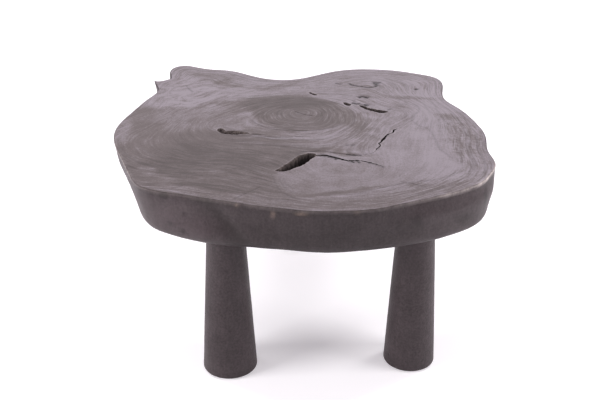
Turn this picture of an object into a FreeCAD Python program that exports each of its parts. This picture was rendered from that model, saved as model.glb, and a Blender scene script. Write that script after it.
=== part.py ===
import FreeCAD, Part
import math
import os
from collections import namedtuple

# Live edge coffee table: one slab, sawn across a forked trunk, on three turned and tapered legs.
# A hanger bolt in the top of each leg screws into a steel plate let into the slab's underside.
# Millimetres, +Z up, -Y is the front. The origin is on the floor, under the middle of the slab.

# Overall sizes
TABLE_HEIGHT = 430.0
SLAB_WIDTH = 818.0
SLAB_DEPTH = 840.0
SLAB_THICKNESS = 100.0
LOWER_EDGE_ROUND = 24.0

# How the flank runs from the top face to the underside: where its outline is taken,
# as shares of the straight stretch and as degrees round the lower edge
FLANK_SHARES = (0.0, 0.35, 0.7, 1.0)
ROUND_DEGREES = (30, 60, 90)
LEAN_POWER = 1.5
SPIKE_LEAN_POWER = 0.6

# Slab outline at the top face, anticlockwise from above: x, y and the flank's lean.
# Lean is how far the flank has drawn in where the round of the lower edge starts.
# It is below zero where the flank swells out on its way down. Under the spike's tip it comes early.
# Two corners are sharp, the tip of the bark spike and the notch behind it.
# Every place on the plan, here and below, is stretched with the slab's width and depth.
SPIKE_TIP = (-366, 303, 28)
LIVE_EDGE = [
    (-354, 262, 2),
    (-347, 225, 5),
    (-358, 190, 8),
    (-382, 110, 12),
    (-403, 32, 15),
    (-409, -18, 16),
    (-402, -82, 18),
    (-374, -168, 18),
    (-343, -254, 15),
    (-312, -312, 10),
    (-262, -339, -2),
    (-175, -366, -14),
    (-102, -390, -6),
    (-47, -405, 2),
    (40, -420, 4),
    (128, -413, 5),
    (230, -385, 4),
    (319, -342, 5),
    (375, -296, 8),
    (403, -228, 11),
    (405, -180, 10),
    (401, -137, 8),
    (409, -58, 10),
    (399, 30, 11),
    (374, 113, 9),
    (350, 172, 5),
    (353, 238, 6),
    (358, 288, 9),
    (349, 322, 10),
    (313, 352, 11),
    (255, 379, 11),
    (180, 393, 11),
    (107, 383, 10),
    (62, 359, 8),
    (17, 328, 6),
    (-46, 310, 5),
    (-100, 328, 6),
    (-144, 359, 8),
    (-183, 383, 9),
    (-225, 390, 8),
    (-268, 409, 8),
    (-298, 420, 4),
    (-322, 411, 0),
    (-333, 387, -2),
    (-331, 352, -4),
]
NOTCH = (-327, 318, -2)

# The notch's short side dips before the tip, which stands up like a small horn.
# The dip runs out round the lower edge.
SPIKE_DIP = 6.0
SPIKE_DIP_SHARE = 0.78

# Natural holes in the top face: the mouth of each, from one of its tips, and its depth
FRONT_HOLE = [(-47, -236), (-30, -213), (-14, -187), (-2, -168), (9, -157), (23, -151),
              (34, -156), (28, -175), (17, -195), (5, -213), (-14, -230), (-36, -242)]
FRONT_HOLE_DEPTH = 62.0
RIGHT_HOLE = [(142, 129), (150, 113), (161, 101), (174, 90), (187, 81), (198, 81),
              (204, 89), (195, 96), (184, 101), (173, 106), (163, 113), (153, 123)]
RIGHT_HOLE_DEPTH = 38.0
LEFT_HOLE = [(-108, -42), (-128, -47), (-155, -48), (-171, -40), (-179, -16),
             (-171, -14), (-165, -27), (-148, -28), (-128, -33)]
LEFT_HOLE_DEPTH = 9.0
REAR_HOLE = [(20, 216), (27, 219), (37, 209), (44, 199), (38, 197), (28, 206)]
REAR_HOLE_DEPTH = 20.0
KNOT_HOLE = [(107, 148), (113, 145), (122, 131), (117, 126), (109, 134)]
KNOT_HOLE_DEPTH = 14.0
HOLE_FLOOR_SHARE = 0.6

# Drying cracks in the top face: x, y and width along each, and depth
FRONT_CRACK = [(26, -158, 7.0), (42, -164, 6.0), (51, -161, 5.5), (66, -167, 5.0), (79, -175, 4.5),
               (94, -186, 4.0), (103, -190, 3.0), (107, -187, 3.5), (114, -191, 2.5), (119, -188, 3.0),
               (133, -192, 3.0), (151, -201, 2.0), (172, -218, 0.3)]
SIDE_CRACK = [(160, -143, 0.3), (166, -126, 2.5), (174, -109, 3.0), (172, -101, 3.5), (180, -82, 4.5),
              (189, -61, 5.0), (192, -55, 3.0), (199, -44, 3.5), (208, -36, 3.5), (210, -24, 2.5),
              (216, -17, 1.5), (224, -19, 0.3)]
FRONT_CRACK_DEPTH = 30.0
SIDE_CRACK_DEPTH = 24.0

# Legs: each one's centre on the plan and foot diameter, and what they share
FRONT_LEFT_LEG = (-148, -303)
FRONT_LEFT_FOOT_DIAMETER = 116.0
FRONT_RIGHT_LEG = (238, -280)
FRONT_RIGHT_FOOT_DIAMETER = 110.0
REAR_LEG = (10, 248)
REAR_FOOT_DIAMETER = 113.0
LEG_TOP_DIAMETER = 77.0
LEG_FOOT_ROUND = 4.0
LEG_TOP_ROUND = 1.2

# Rubber glide let into each foot
GLIDE_DIAMETER = 80.0
GLIDE_THICKNESS = 5.0
GLIDE_PROUD = 2.0
GLIDE_EDGE_ROUND = 0.8
GLIDE_CLEARANCE = 0.5

# Steel leg plate with its threaded bush
PLATE_DIAMETER = 64.0
PLATE_THICKNESS = 5.0
PLATE_CLEARANCE = 0.5
PLATE_SET_IN = 0.3
BUSH_DIAMETER = 22.0
BUSH_HEIGHT = 16.0
BUSH_END_ROOM = 4.0

# Countersunk wood screws, on a circle in each plate
SCREWS_PER_PLATE = 4
SCREW_CIRCLE = 45.0
SCREW_DIAMETER = 5.0
SCREW_LENGTH = 40.0
SCREW_HEAD_DIAMETER = 9.6
SCREW_POINT = 6.0
SCREW_HOLE_CLEARANCE = 0.25
SCREW_SLOT_WIDTH = 1.0
SCREW_SLOT_DEPTH = 1.4
SCREW_SLOT_LENGTH = 5.0

# Hanger bolt: wood thread glued into the leg, machine thread in the bush
BOLT_DIAMETER = 12.0
BOLT_IN_LEG = 80.0
BOLT_POINT = 10.0
BOLT_SHORT_OF_BUSH_END = 2.0
BOLT_CHAMFER = 1.2
BOLT_CLEARANCE = 0.1
BOLT_HOLE_END_ROOM = 3.0

# What follows from the sizes above
UNDERSIDE = TABLE_HEIGHT - SLAB_THICKNESS
PLATE_BOTTOM = UNDERSIDE + PLATE_SET_IN
PLATE_TOP = PLATE_BOTTOM + PLATE_THICKNESS
BUSH_TOP = PLATE_TOP + BUSH_HEIGHT
BOLT_TOP = BUSH_TOP - BOLT_SHORT_OF_BUSH_END

DRAWN_WIDTH = max(x for x, _, _ in LIVE_EDGE) - min(x for x, _, _ in LIVE_EDGE)
DRAWN_DEPTH = max(y for _, y, _ in LIVE_EDGE) - min(y for _, y, _ in LIVE_EDGE)

Leg = namedtuple("Leg", "plan foot_diameter")
LEGS = {
    "front_left": Leg(FRONT_LEFT_LEG, FRONT_LEFT_FOOT_DIAMETER),
    "front_right": Leg(FRONT_RIGHT_LEG, FRONT_RIGHT_FOOT_DIAMETER),
    "rear": Leg(REAR_LEG, REAR_FOOT_DIAMETER),
}

UP = FreeCAD.Vector(0, 0, 1)
SAME_LEVEL = 1e-6


def vector(x, y, z=0.0):
    return FreeCAD.Vector(x, y, z)


def place(x, y, z=0.0):
    """A place on the plan, stretched with the slab, at a level."""
    return vector(x * SLAB_WIDTH / DRAWN_WIDTH, y * SLAB_DEPTH / DRAWN_DEPTH, z)


def cylinder(diameter, bottom, top, x=0.0, y=0.0):
    return Part.makeCylinder(diameter / 2, top - bottom, vector(x, y, bottom), UP)


def cone(lower_diameter, upper_diameter, bottom, top, x=0.0, y=0.0):
    return Part.makeCone(lower_diameter / 2, upper_diameter / 2, top - bottom, vector(x, y, bottom), UP)


def at_leg(shape, leg):
    return shape.translated(place(*LEGS[leg].plan))


# Slab

def inward_directions(points):
    """Unit vectors that point into the wood, square to the outline at each of its points."""
    directions = []
    for i, _ in enumerate(points):
        along = (points[(i + 1) % len(points)] - points[i - 1]).normalize()
        directions.append(vector(-along.y, along.x))
    return directions


def flank_profile():
    """Each outline's level, its share of the flank's straight stretch, and the draw-in by the lower round."""
    flank_depth = SLAB_THICKNESS - LOWER_EDGE_ROUND
    levels = []
    for share in FLANK_SHARES:
        levels.append((TABLE_HEIGHT - flank_depth * share, share, 0.0))
    for degrees in ROUND_DEGREES:
        angle = math.radians(degrees)
        drop = flank_depth + LOWER_EDGE_ROUND * math.sin(angle)
        levels.append((TABLE_HEIGHT - drop, 1.0, LOWER_EDGE_ROUND * (1 - math.cos(angle))))
    return levels


def chord_parameters(points):
    """A curve parameter for each point, in step with the distance along the outline."""
    lengths = [0.0]
    for start, end in zip(points, points[1:]):
        lengths.append(lengths[-1] + start.distanceToPoint(end))
    return [length / lengths[-1] for length in lengths]


def notch_side(notch, tip, dip):
    """The notch's short side: two straight runs that meet in the dip before the tip."""
    along = tip - notch
    inward = vector(-along.y, along.x).normalize()
    lowest = notch + along * SPIKE_DIP_SHARE + inward * dip
    return [Part.LineSegment(notch, lowest).toShape(), Part.LineSegment(lowest, tip).toShape()]


def slab_section(level, flank_share, round_in):
    """The slab's outline at one height: the live edge as one curve, and the notch's short side."""
    edge = [SPIKE_TIP] + LIVE_EDGE + [NOTCH]
    outline = [place(x, y, level) for x, y, _ in edge]
    leans = [lean * flank_share ** LEAN_POWER for _, _, lean in edge]
    leans[0] = SPIKE_TIP[2] * flank_share ** SPIKE_LEAN_POWER
    section = []
    for point, inward, lean in zip(outline, inward_directions(outline), leans):
        section.append(point + inward * (lean + round_in))
    live_edge = Part.BSplineCurve()
    live_edge.interpolate(Points=section, Parameters=chord_parameters(outline))
    dip = SPIKE_DIP * (1 - round_in / LOWER_EDGE_ROUND)
    return Part.Wire([live_edge.toShape(), *notch_side(section[-1], section[0], dip)])


def slab_blank():
    sections = [slab_section(*level) for level in flank_profile()]
    return Part.makeLoft(sections, True, False)


def closed_curve(points):
    curve = Part.BSplineCurve()
    curve.interpolate(Points=points + points[:1])
    return Part.Wire([curve.toShape()])


def natural_hole(mouth, depth):
    """A pocket that narrows from its mouth at the top face to its floor."""
    rim = [place(x, y, TABLE_HEIGHT) for x, y in mouth]
    middle = sum(rim, vector(0, 0)) / len(rim)
    floor = [middle + (point - middle) * HOLE_FLOOR_SHARE - UP * depth for point in rim]
    return Part.makeLoft([closed_curve(rim), closed_curve(floor)], True, True)


def drying_crack(line, depth):
    """A narrow slit along a line, as wide at each of its points as the line says."""
    points = [place(x, y, TABLE_HEIGHT) for x, y, _ in line]
    left = []
    right = []
    for i, (point, (_, _, width)) in enumerate(zip(points, line)):
        before = points[max(i - 1, 0)]
        after = points[min(i + 1, len(points) - 1)]
        along = (after - before).normalize()
        across = vector(-along.y, along.x) * (width / 2)
        left.append(point + across)
        right.append(point - across)
    mouth = left + right[::-1]
    return Part.Face(Part.makePolygon(mouth + mouth[:1])).extrude(UP * -depth)


def plate_pocket():
    """What is taken out of the slab's underside for one plate, its bush and its screws."""
    recess = cylinder(PLATE_DIAMETER + 2 * PLATE_CLEARANCE, UNDERSIDE, PLATE_TOP)
    bush_hole = cylinder(BUSH_DIAMETER + 2 * PLATE_CLEARANCE, PLATE_TOP, BUSH_TOP + BUSH_END_ROOM)
    return recess.fuse([bush_hole, *plate_screws()])


def slab_top():
    cuts = [
        natural_hole(FRONT_HOLE, FRONT_HOLE_DEPTH),
        natural_hole(RIGHT_HOLE, RIGHT_HOLE_DEPTH),
        natural_hole(LEFT_HOLE, LEFT_HOLE_DEPTH),
        natural_hole(REAR_HOLE, REAR_HOLE_DEPTH),
        natural_hole(KNOT_HOLE, KNOT_HOLE_DEPTH),
        drying_crack(FRONT_CRACK, FRONT_CRACK_DEPTH),
        drying_crack(SIDE_CRACK, SIDE_CRACK_DEPTH),
    ]
    cuts.extend(at_leg(plate_pocket(), leg) for leg in LEGS)
    return slab_blank().cut(cuts)


# Legs and glides

def edges_at(shape, level):
    edges = []
    for edge in shape.Edges:
        box = edge.BoundBox
        if abs(box.ZMin - level) < SAME_LEVEL and abs(box.ZMax - level) < SAME_LEVEL:
            edges.append(edge)
    return edges


def table_leg(leg):
    shape = cone(LEGS[leg].foot_diameter, LEG_TOP_DIAMETER, GLIDE_PROUD, UNDERSIDE)
    shape = shape.makeFillet(LEG_FOOT_ROUND, edges_at(shape, GLIDE_PROUD))
    shape = shape.makeFillet(LEG_TOP_ROUND, edges_at(shape, UNDERSIDE))
    bolt_hole = cylinder(BOLT_DIAMETER, UNDERSIDE - BOLT_IN_LEG - BOLT_HOLE_END_ROOM, UNDERSIDE)
    glide_recess = cylinder(GLIDE_DIAMETER + 2 * GLIDE_CLEARANCE, GLIDE_PROUD, GLIDE_THICKNESS)
    return at_leg(shape.cut([bolt_hole, glide_recess]), leg)


def floor_glide(leg):
    shape = cylinder(GLIDE_DIAMETER, 0.0, GLIDE_THICKNESS)
    return at_leg(shape.makeFillet(GLIDE_EDGE_ROUND, edges_at(shape, 0.0)), leg)


# Steel fittings

def hanger_bolt(leg):
    point_top = UNDERSIDE - BOLT_IN_LEG + BOLT_POINT
    chamfer_bottom = BOLT_TOP - BOLT_CHAMFER
    point = cone(0.0, BOLT_DIAMETER, point_top - BOLT_POINT, point_top)
    shank = cylinder(BOLT_DIAMETER, point_top, chamfer_bottom)
    end = cone(BOLT_DIAMETER, BOLT_DIAMETER - 2 * BOLT_CHAMFER, chamfer_bottom, BOLT_TOP)
    return at_leg(shank.fuse([point, end]).removeSplitter(), leg)


def screw_places():
    for i in range(SCREWS_PER_PLATE):
        angle = 2 * math.pi * (i + 0.5) / SCREWS_PER_PLATE
        yield SCREW_CIRCLE / 2 * math.cos(angle), SCREW_CIRCLE / 2 * math.sin(angle)


def screw_head(x, y):
    """A right-angled cone, flush with the plate's lower face. The plate is countersunk with it too."""
    head_height = (SCREW_HEAD_DIAMETER - SCREW_DIAMETER) / 2
    return cone(SCREW_HEAD_DIAMETER, SCREW_DIAMETER, PLATE_BOTTOM, PLATE_BOTTOM + head_height, x, y)


def leg_plate(leg):
    plate = cylinder(PLATE_DIAMETER, PLATE_BOTTOM, PLATE_TOP)
    plate = plate.fuse(cylinder(BUSH_DIAMETER, PLATE_TOP, BUSH_TOP)).removeSplitter()
    cuts = [cylinder(BOLT_DIAMETER + 2 * BOLT_CLEARANCE, PLATE_BOTTOM, BUSH_TOP)]
    for x, y in screw_places():
        cuts.append(cylinder(SCREW_DIAMETER + 2 * SCREW_HOLE_CLEARANCE, PLATE_BOTTOM, PLATE_TOP, x, y))
        cuts.append(screw_head(x, y))
    return at_leg(plate.cut(cuts), leg)


def wood_screw(x, y):
    tip = PLATE_BOTTOM + SCREW_LENGTH
    shank = cylinder(SCREW_DIAMETER, PLATE_BOTTOM, tip - SCREW_POINT, x, y)
    point = cone(SCREW_DIAMETER, 0.0, tip - SCREW_POINT, tip, x, y)
    return shank.fuse([screw_head(x, y), point]).removeSplitter()


def plate_screws():
    return [wood_screw(x, y) for x, y in screw_places()]


def cross_slot(x, y):
    long_bar = Part.makeBox(SCREW_SLOT_LENGTH, SCREW_SLOT_WIDTH, SCREW_SLOT_DEPTH)
    long_bar.translate(vector(x - SCREW_SLOT_LENGTH / 2, y - SCREW_SLOT_WIDTH / 2, PLATE_BOTTOM))
    cross_bar = Part.makeBox(SCREW_SLOT_WIDTH, SCREW_SLOT_LENGTH, SCREW_SLOT_DEPTH)
    cross_bar.translate(vector(x - SCREW_SLOT_WIDTH / 2, y - SCREW_SLOT_LENGTH / 2, PLATE_BOTTOM))
    return long_bar.fuse(cross_bar)


def screw_group(leg):
    screws = []
    for screw, (x, y) in zip(plate_screws(), screw_places()):
        screws.append(screw.cut(cross_slot(x, y)))
    return at_leg(Part.makeCompound(screws), leg)


def table():
    """Every piece of the table, by its node name."""
    pieces = {"slab_top": slab_top()}
    for leg in LEGS:
        pieces[f"leg_{leg}"] = table_leg(leg)
        pieces[f"floor_glide_{leg}"] = floor_glide(leg)
        pieces[f"hanger_bolt_{leg}"] = hanger_bolt(leg)
        pieces[f"leg_plate_{leg}"] = leg_plate(leg)
        pieces[f"plate_screws_{leg}"] = screw_group(leg)
    return pieces


os.makedirs("parts", exist_ok=True)
for node, piece in table().items():
    piece.exportStep(f"parts/{node}.step")
    box = piece.optimalBoundingBox(False)
    print(f"{node}: valid {piece.isValid()}, {len(piece.Solids)} solids, {piece.Volume / 1000:.1f} cm3,",
          f"x {box.XMin:.1f} to {box.XMax:.1f}, y {box.YMin:.1f} to {box.YMax:.1f},",
          f"z {box.ZMin:.1f} to {box.ZMax:.1f}")
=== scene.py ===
import logging
import math
from dataclasses import dataclass
from enum import Enum
from typing import Callable, Optional, Sequence, Union

import bmesh
import bpy
import numpy as np
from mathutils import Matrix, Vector, noise
from mathutils.bvhtree import BVHTree
from mathutils.geometry import delaunay_2d_cdt, tessellate_polygon
from mathutils.kdtree import KDTree


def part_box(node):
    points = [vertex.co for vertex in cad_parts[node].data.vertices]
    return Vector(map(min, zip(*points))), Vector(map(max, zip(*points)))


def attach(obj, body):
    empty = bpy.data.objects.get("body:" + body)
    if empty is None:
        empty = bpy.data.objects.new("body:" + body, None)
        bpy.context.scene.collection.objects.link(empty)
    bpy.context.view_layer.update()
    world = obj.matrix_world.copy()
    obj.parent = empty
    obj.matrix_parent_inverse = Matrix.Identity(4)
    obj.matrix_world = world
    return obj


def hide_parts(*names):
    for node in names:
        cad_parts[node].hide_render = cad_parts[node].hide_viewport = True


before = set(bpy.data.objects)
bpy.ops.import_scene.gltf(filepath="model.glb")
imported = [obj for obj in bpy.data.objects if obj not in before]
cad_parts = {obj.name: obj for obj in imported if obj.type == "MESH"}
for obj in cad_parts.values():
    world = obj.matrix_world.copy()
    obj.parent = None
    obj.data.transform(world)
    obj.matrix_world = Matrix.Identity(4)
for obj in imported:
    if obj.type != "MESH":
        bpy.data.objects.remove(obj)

# Looks of a live edge coffee table: a dark stained slab, sawn across a forked trunk, on three turned legs.
# Metres, in the part's own frame: +Z up, -Y is the front, the origin on the floor under the slab.
# Places on the top face are written in millimetres, as they would be measured on it.

MM = 0.001
BODY = "root"
IMAGE_WIDTH_PIXELS = 600
SENSOR_WIDTH_MM = 36.0
CAD_WELD = 1e-6
SEAM_WELD = 2e-6
FILL_WELD = 1e-7
LEVEL_WITHIN = 1e-5
ROUND_ANGLES = np.radians((0, 30, 60, 90))

Colour = tuple[float, float, float, float]
Array = np.ndarray
Socket = bpy.types.NodeSocket
Sockets = dict[str, Socket]
Feed = Union[float, Sequence[float], Socket]
log = logging.getLogger("coffee_table")


class Slot(Enum):
    """The record's material slots for the pieces that are made here."""

    SLAB = "slab_wood"
    LEG = "leg_wood"


class LegPlace(Enum):
    """Where a leg stands, as its nodes are named."""

    FRONT_LEFT = "front_left"
    FRONT_RIGHT = "front_right"
    REAR = "rear"


class Side(Enum):
    """The slab's surfaces, each with its own finish, in the order of its material slots."""

    TOP = 0
    FLANK = 1
    HOLLOW = 2


# Small helpers

def srgb(red: float, green: float, blue: float) -> Colour:
    """A colour as a screen shows it.

    Args:
        red, green, blue: The screen's values, 0 to 255.

    Returns:
        The colour in linear light, opaque.
    """
    def linear(value: float) -> float:
        """One channel in linear light."""
        share = value / 255
        return share / 12.92 if share <= 0.04045 else ((share + 0.055) / 1.055) ** 2.4
    return (linear(red), linear(green), linear(blue), 1.0)


def ease(values: Array, low: float, high: float) -> Array:
    """A soft step.

    Args:
        values: What is stepped.
        low, high: Where the step starts and ends.

    Returns:
        0 up to low, 1 from high on, and a smooth rise between.
    """
    share = np.clip((values - low) / (high - low), 0.0, 1.0)
    return share * share * (3.0 - 2.0 * share)


def roughness_field(points: Array, size: Sequence[float], octaves: int, seed: float) -> Array:
    """Smooth noise at each of some points.

    Args:
        points: The points, one a row, with two or three columns.
        size: How large the noise's features are along X, Y and Z.
        octaves: How many finer layers are added.
        seed: Where in the noise the pattern is taken.

    Returns:
        A value for each point, mostly between -1 and 1.
    """
    shift = Vector((seed, seed * 0.37, seed * 0.71))
    values = []
    for point in points:
        place = Vector([c / s for c, s in zip(point, size)]).to_3d() + shift
        values.append(noise.fractal(place, 1.0, 2.0, octaves, noise_basis="PERLIN_ORIGINAL"))
    return np.array(values)


def drift_field(plan: Array, size: float, octaves: int, seed: float) -> Array:
    """Smooth noise along X and along Y at each of some points.

    Args:
        plan: Points on the plan.
        size: How large the noise's features are.
        octaves: How many finer layers are added.
        seed: Where in the noise the drift along X is taken. The one along Y is taken further on.

    Returns:
        A drift for each point, mostly between -1 and 1 each way.
    """
    seeds = (seed, seed + 10.0)
    return np.column_stack([roughness_field(plan, (size, size), octaves, each) for each in seeds])


# Loops on the plan

def smooth_run(points: Array, step: float) -> Array:
    """Even points on a smooth curve.

    Args:
        points: The points that the curve passes through.
        step: The distance between the new points.

    Returns:
        The new points, without the run's last one.
    """
    gaps = np.linalg.norm(np.diff(points, axis=0), axis=1)
    along = np.concatenate([[0.0], np.cumsum(gaps)])
    slopes = np.gradient(points, along, axis=0) if len(points) > 2 else np.diff(points, axis=0) / gaps
    slopes = np.broadcast_to(slopes, points.shape)
    places = np.linspace(0.0, along[-1], max(2, round(along[-1] / step)), endpoint=False)
    start = np.clip(np.searchsorted(along, places, side="right") - 1, 0, len(gaps) - 1)
    reach = gaps[start][:, None]
    t = (places - along[start])[:, None] / reach
    from_start = (1 + 2 * t) * (1 - t) ** 2 * points[start] + t * (1 - t) ** 2 * reach * slopes[start]
    from_end = t ** 2 * (3 - 2 * t) * points[start + 1] - t ** 2 * (1 - t) * reach * slopes[start + 1]
    return from_start + from_end


def even_loop(points: Array, step: float, sharp_degrees: float) -> Array:
    """Even points round a closed loop that keeps its sharp corners.

    Args:
        points: The loop's own points.
        step: The distance between the new points.
        sharp_degrees: A turn from which a point counts as a corner.

    Returns:
        The new points, starting at the loop's sharpest corner.
    """
    before = points - np.roll(points, 1, axis=0)
    after = np.roll(points, -1, axis=0) - points
    across = before[:, 0] * after[:, 1] - before[:, 1] * after[:, 0]
    turns = np.abs(np.degrees(np.arctan2(across, np.sum(before * after, axis=1))))
    points = np.roll(points, -int(np.argmax(turns)), axis=0)
    turns = np.roll(turns, -int(np.argmax(turns)))
    corners = [0, *(i for i in range(1, len(points)) if turns[i] > sharp_degrees), len(points)]
    closed = np.vstack([points, points[:1]])
    return np.vstack([smooth_run(closed[a:b + 1], step) for a, b in zip(corners, corners[1:])])


def evened_run(points: Array, count: int, least_gap: float) -> Array:
    """A given number of even points on a smooth curve.

    Args:
        points: The points that the curve passes through.
        count: How many points there are to be.
        least_gap: A point nearer than this to the one before is passed over.

    Returns:
        The new points, without the run's last one.
    """
    kept = [points[0]]
    for point in points[1:-1]:
        if min(np.linalg.norm(point - kept[-1]), np.linalg.norm(point - points[-1])) > least_gap:
            kept.append(point)
    kept = np.array([*kept, points[-1]])
    return smooth_run(kept, np.linalg.norm(np.diff(kept, axis=0), axis=1).sum() / count)


def left_turns(loop: Array, reach: float) -> Array:
    """How much a closed loop turns to the left at each of its points.

    Args:
        loop: The loop's points.
        reach: How far to each side of a point the loop's direction is taken.

    Returns:
        An angle in radians for each point.
    """
    closed = np.vstack([loop, loop, loop, loop[:1]])
    along = np.concatenate([[0.0], np.cumsum(np.linalg.norm(np.diff(closed, axis=0), axis=1))])
    here = along[len(loop):2 * len(loop)]
    before, after = (np.column_stack([np.interp(here + way, along, closed[:, k]) for k in (0, 1)])
                     for way in (-reach, reach))
    arriving, leaving = loop - before, after - loop
    across = arriving[:, 0] * leaving[:, 1] - arriving[:, 1] * leaving[:, 0]
    return np.arctan2(across, np.sum(arriving * leaving, axis=1))


def right_hand(loop: Array, spread: int = 1) -> Array:
    """Unit vectors to the right of a closed loop's way.

    Args:
        loop: The loop's points.
        spread: How many points to each side the direction is taken over.

    Returns:
        A vector for each point.
    """
    along = np.roll(loop, -spread, axis=0) - np.roll(loop, spread, axis=0)
    along /= np.linalg.norm(along, axis=1)[:, None]
    return np.column_stack([along[:, 1], -along[:, 0]])


def loop_average(values: Array, spread: int) -> Array:
    """Values round a loop, each averaged with its neighbours.

    Args:
        values: One value, or one row, for each point of the loop.
        spread: How many neighbours count on each side.

    Returns:
        The averages.
    """
    return sum(np.roll(values, i, axis=0) for i in range(-spread, spread + 1)) / (2 * spread + 1)


def inside(points: Array, loop: Array) -> Array:
    """Whether points lie inside a loop.

    Args:
        points: Points on the plan.
        loop: The loop's points.

    Returns:
        True or False for each point.
    """
    odd = np.zeros(len(points), bool)
    for start, end in zip(loop, np.roll(loop, -1, axis=0)):
        spans = (start[1] > points[:, 1]) != (end[1] > points[:, 1])
        rise = end[1] - start[1]
        if rise != 0.0:
            crossing = start[0] + (points[:, 1] - start[1]) * (end[0] - start[0]) / rise
            odd ^= spans & (points[:, 0] < crossing)
    return odd


def line_distance(points: Array, line: Array) -> tuple[Array, Array]:
    """How far points lie from an open line.

    Args:
        points: Points on the plan.
        line: The line's points.

    Returns:
        Each point's distance, and how far along the line its nearest place is, from 0 to 1.
    """
    lengths = np.linalg.norm(np.diff(line, axis=0), axis=1)
    best = np.full(len(points), np.inf)
    share = np.zeros(len(points))
    passed = 0.0
    for start, end, length in zip(line, line[1:], lengths):
        t = np.clip((points - start) @ (end - start) / length ** 2, 0.0, 1.0)
        gap = np.linalg.norm(points - start - t[:, None] * (end - start), axis=1)
        nearer = gap < best
        best[nearer] = gap[nearer]
        share[nearer] = (passed + t[nearer] * length) / lengths.sum()
        passed += length
    return best, share


def nearest(points: Array, marks: Array) -> Array:
    """The distance from each point to the nearest of some marks.

    Args:
        points, marks: Points on the plan.

    Returns:
        A distance for each point.
    """
    tree = KDTree(len(marks))
    for i, mark in enumerate(marks):
        tree.insert((mark[0], mark[1], 0.0), i)
    tree.balance()
    return np.array([tree.find((x, y, 0.0))[2] for x, y in points])


def staggered_grid(low: Array, high: Array, step: float, rng: np.random.Generator) -> Array:
    """A grid of triangles' corners, each shaken a little.

    Args:
        low, high: The corners of the rectangle to cover.
        step: The triangles' side.
        rng: Where the shaking comes from.

    Returns:
        The grid's points.
    """
    shake = 0.16
    xs = np.arange(low[0], high[0], step)
    ys = np.arange(low[1], high[1], step * math.sqrt(0.75))
    grid = np.stack(np.meshgrid(xs, ys), axis=-1)
    grid[1::2, :, 0] += step / 2
    return grid.reshape(-1, 2) + rng.uniform(-shake * step, shake * step, (grid.size // 2, 2))


def filled(outline: Array, holes: Sequence[Array], loose: Array) -> tuple[Array, Array]:
    """Triangles over a flat face with holes.

    Args:
        outline: The loop round the face.
        holes: The loops round its holes.
        loose: Points within the face that become corners too.

    Returns:
        The corners on the plan, and the triangles, anticlockwise from above.
    """
    loops = [outline, *holes]
    edges = []
    first = 0
    for loop in loops:
        count = len(loop)
        edges.extend((first + i, first + (i + 1) % count) for i in range(count))
        first += count
    corners = [Vector(point) for point in np.vstack([*loops, loose])]
    flat, _, faces, _, _, _ = delaunay_2d_cdt(corners, edges, [], 0, FILL_WELD)
    flat = np.array(flat)
    faces = np.array(faces)
    middles = flat[faces].mean(axis=1)
    keep = inside(middles, outline)
    for hole in holes:
        keep &= ~inside(middles, hole)
    return flat, faces[keep]


# Meshes

def closed_chains(onward: dict) -> list[list]:
    """Closed chains.

    Args:
        onward: What follows what.

    Returns:
        Each chain's links in order.
    """
    found = []
    while onward:
        start, here = min(onward.items())
        del onward[start]
        chain = [start]
        while here != start:
            chain.append(here)
            here = onward.pop(here)
        found.append(chain)
    return found


class CadShape:
    """A merged copy of one CAD node's mesh, to measure from."""

    def __init__(self, node: str) -> None:
        """Copy and merge the mesh.

        Args:
            node: The node's name.
        """
        mesh = bmesh.new()
        mesh.from_mesh(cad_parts[node].data)
        bmesh.ops.remove_doubles(mesh, verts=mesh.verts, dist=CAD_WELD)
        self.points = np.array([vertex.co for vertex in mesh.verts])
        self.faces = [tuple(vertex.index for vertex in face.verts) for face in mesh.faces]
        self.tree = BVHTree.FromBMesh(mesh)
        mesh.free()

    def faces_at(self, level: float) -> list[tuple[int, ...]]:
        """The faces that lie flat at a height."""
        flat = np.abs(self.points[:, 2] - level) < LEVEL_WITHIN
        return [face for face in self.faces if flat[list(face)].all()]

    def loops(self, faces: Sequence[tuple[int, ...]]) -> list[Array]:
        """The loops round a set of faces.

        Args:
            faces: The faces.

        Returns:
            Each loop's points, the longest loop first, in the faces' own direction.
        """
        ways = {pair for face in faces for pair in zip(face, face[1:] + face[:1])}
        chains = closed_chains({a: b for a, b in ways if (b, a) not in ways})
        found = [self.points[chain] for chain in chains]
        return sorted(found, key=lambda loop: -np.ptp(loop, axis=0).sum())

    def section(self, level: float) -> Array:
        """The longest loop in which a level plane cuts the shape.

        Args:
            level: The plane's height.

        Returns:
            The loop's points on the plan, anticlockwise from above round the wood.
        """
        above = self.points[:, 2] > level
        faces = np.array(self.faces)
        cut = above[faces].any(axis=1) & ~above[faces].all(axis=1)
        onward = {}
        for face in faces[cut].tolist():
            ends = {}
            for a, b in zip(face, face[1:] + face[:1]):
                if above[a] != above[b]:
                    ends[bool(above[b])] = (min(a, b), max(a, b))
            onward[ends[False]] = ends[True]
        pairs = np.array(max(closed_chains(onward), key=len))
        low, high = self.points[pairs[:, 0]], self.points[pairs[:, 1]]
        share = (level - low[:, 2]) / (high[:, 2] - low[:, 2])
        return (low + (high - low) * share[:, None])[:, :2]

    def hit(self, start: Sequence[float], way: Sequence[float], reach: float) -> Optional[Array]:
        """Where a ray meets the shape.

        Args:
            start, way: The ray.
            reach: How far it goes.

        Returns:
            The point, or None where the ray meets nothing.
        """
        place = self.tree.ray_cast(Vector(start), Vector(way), reach)[0]
        return None if place is None else np.array(place)


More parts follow.
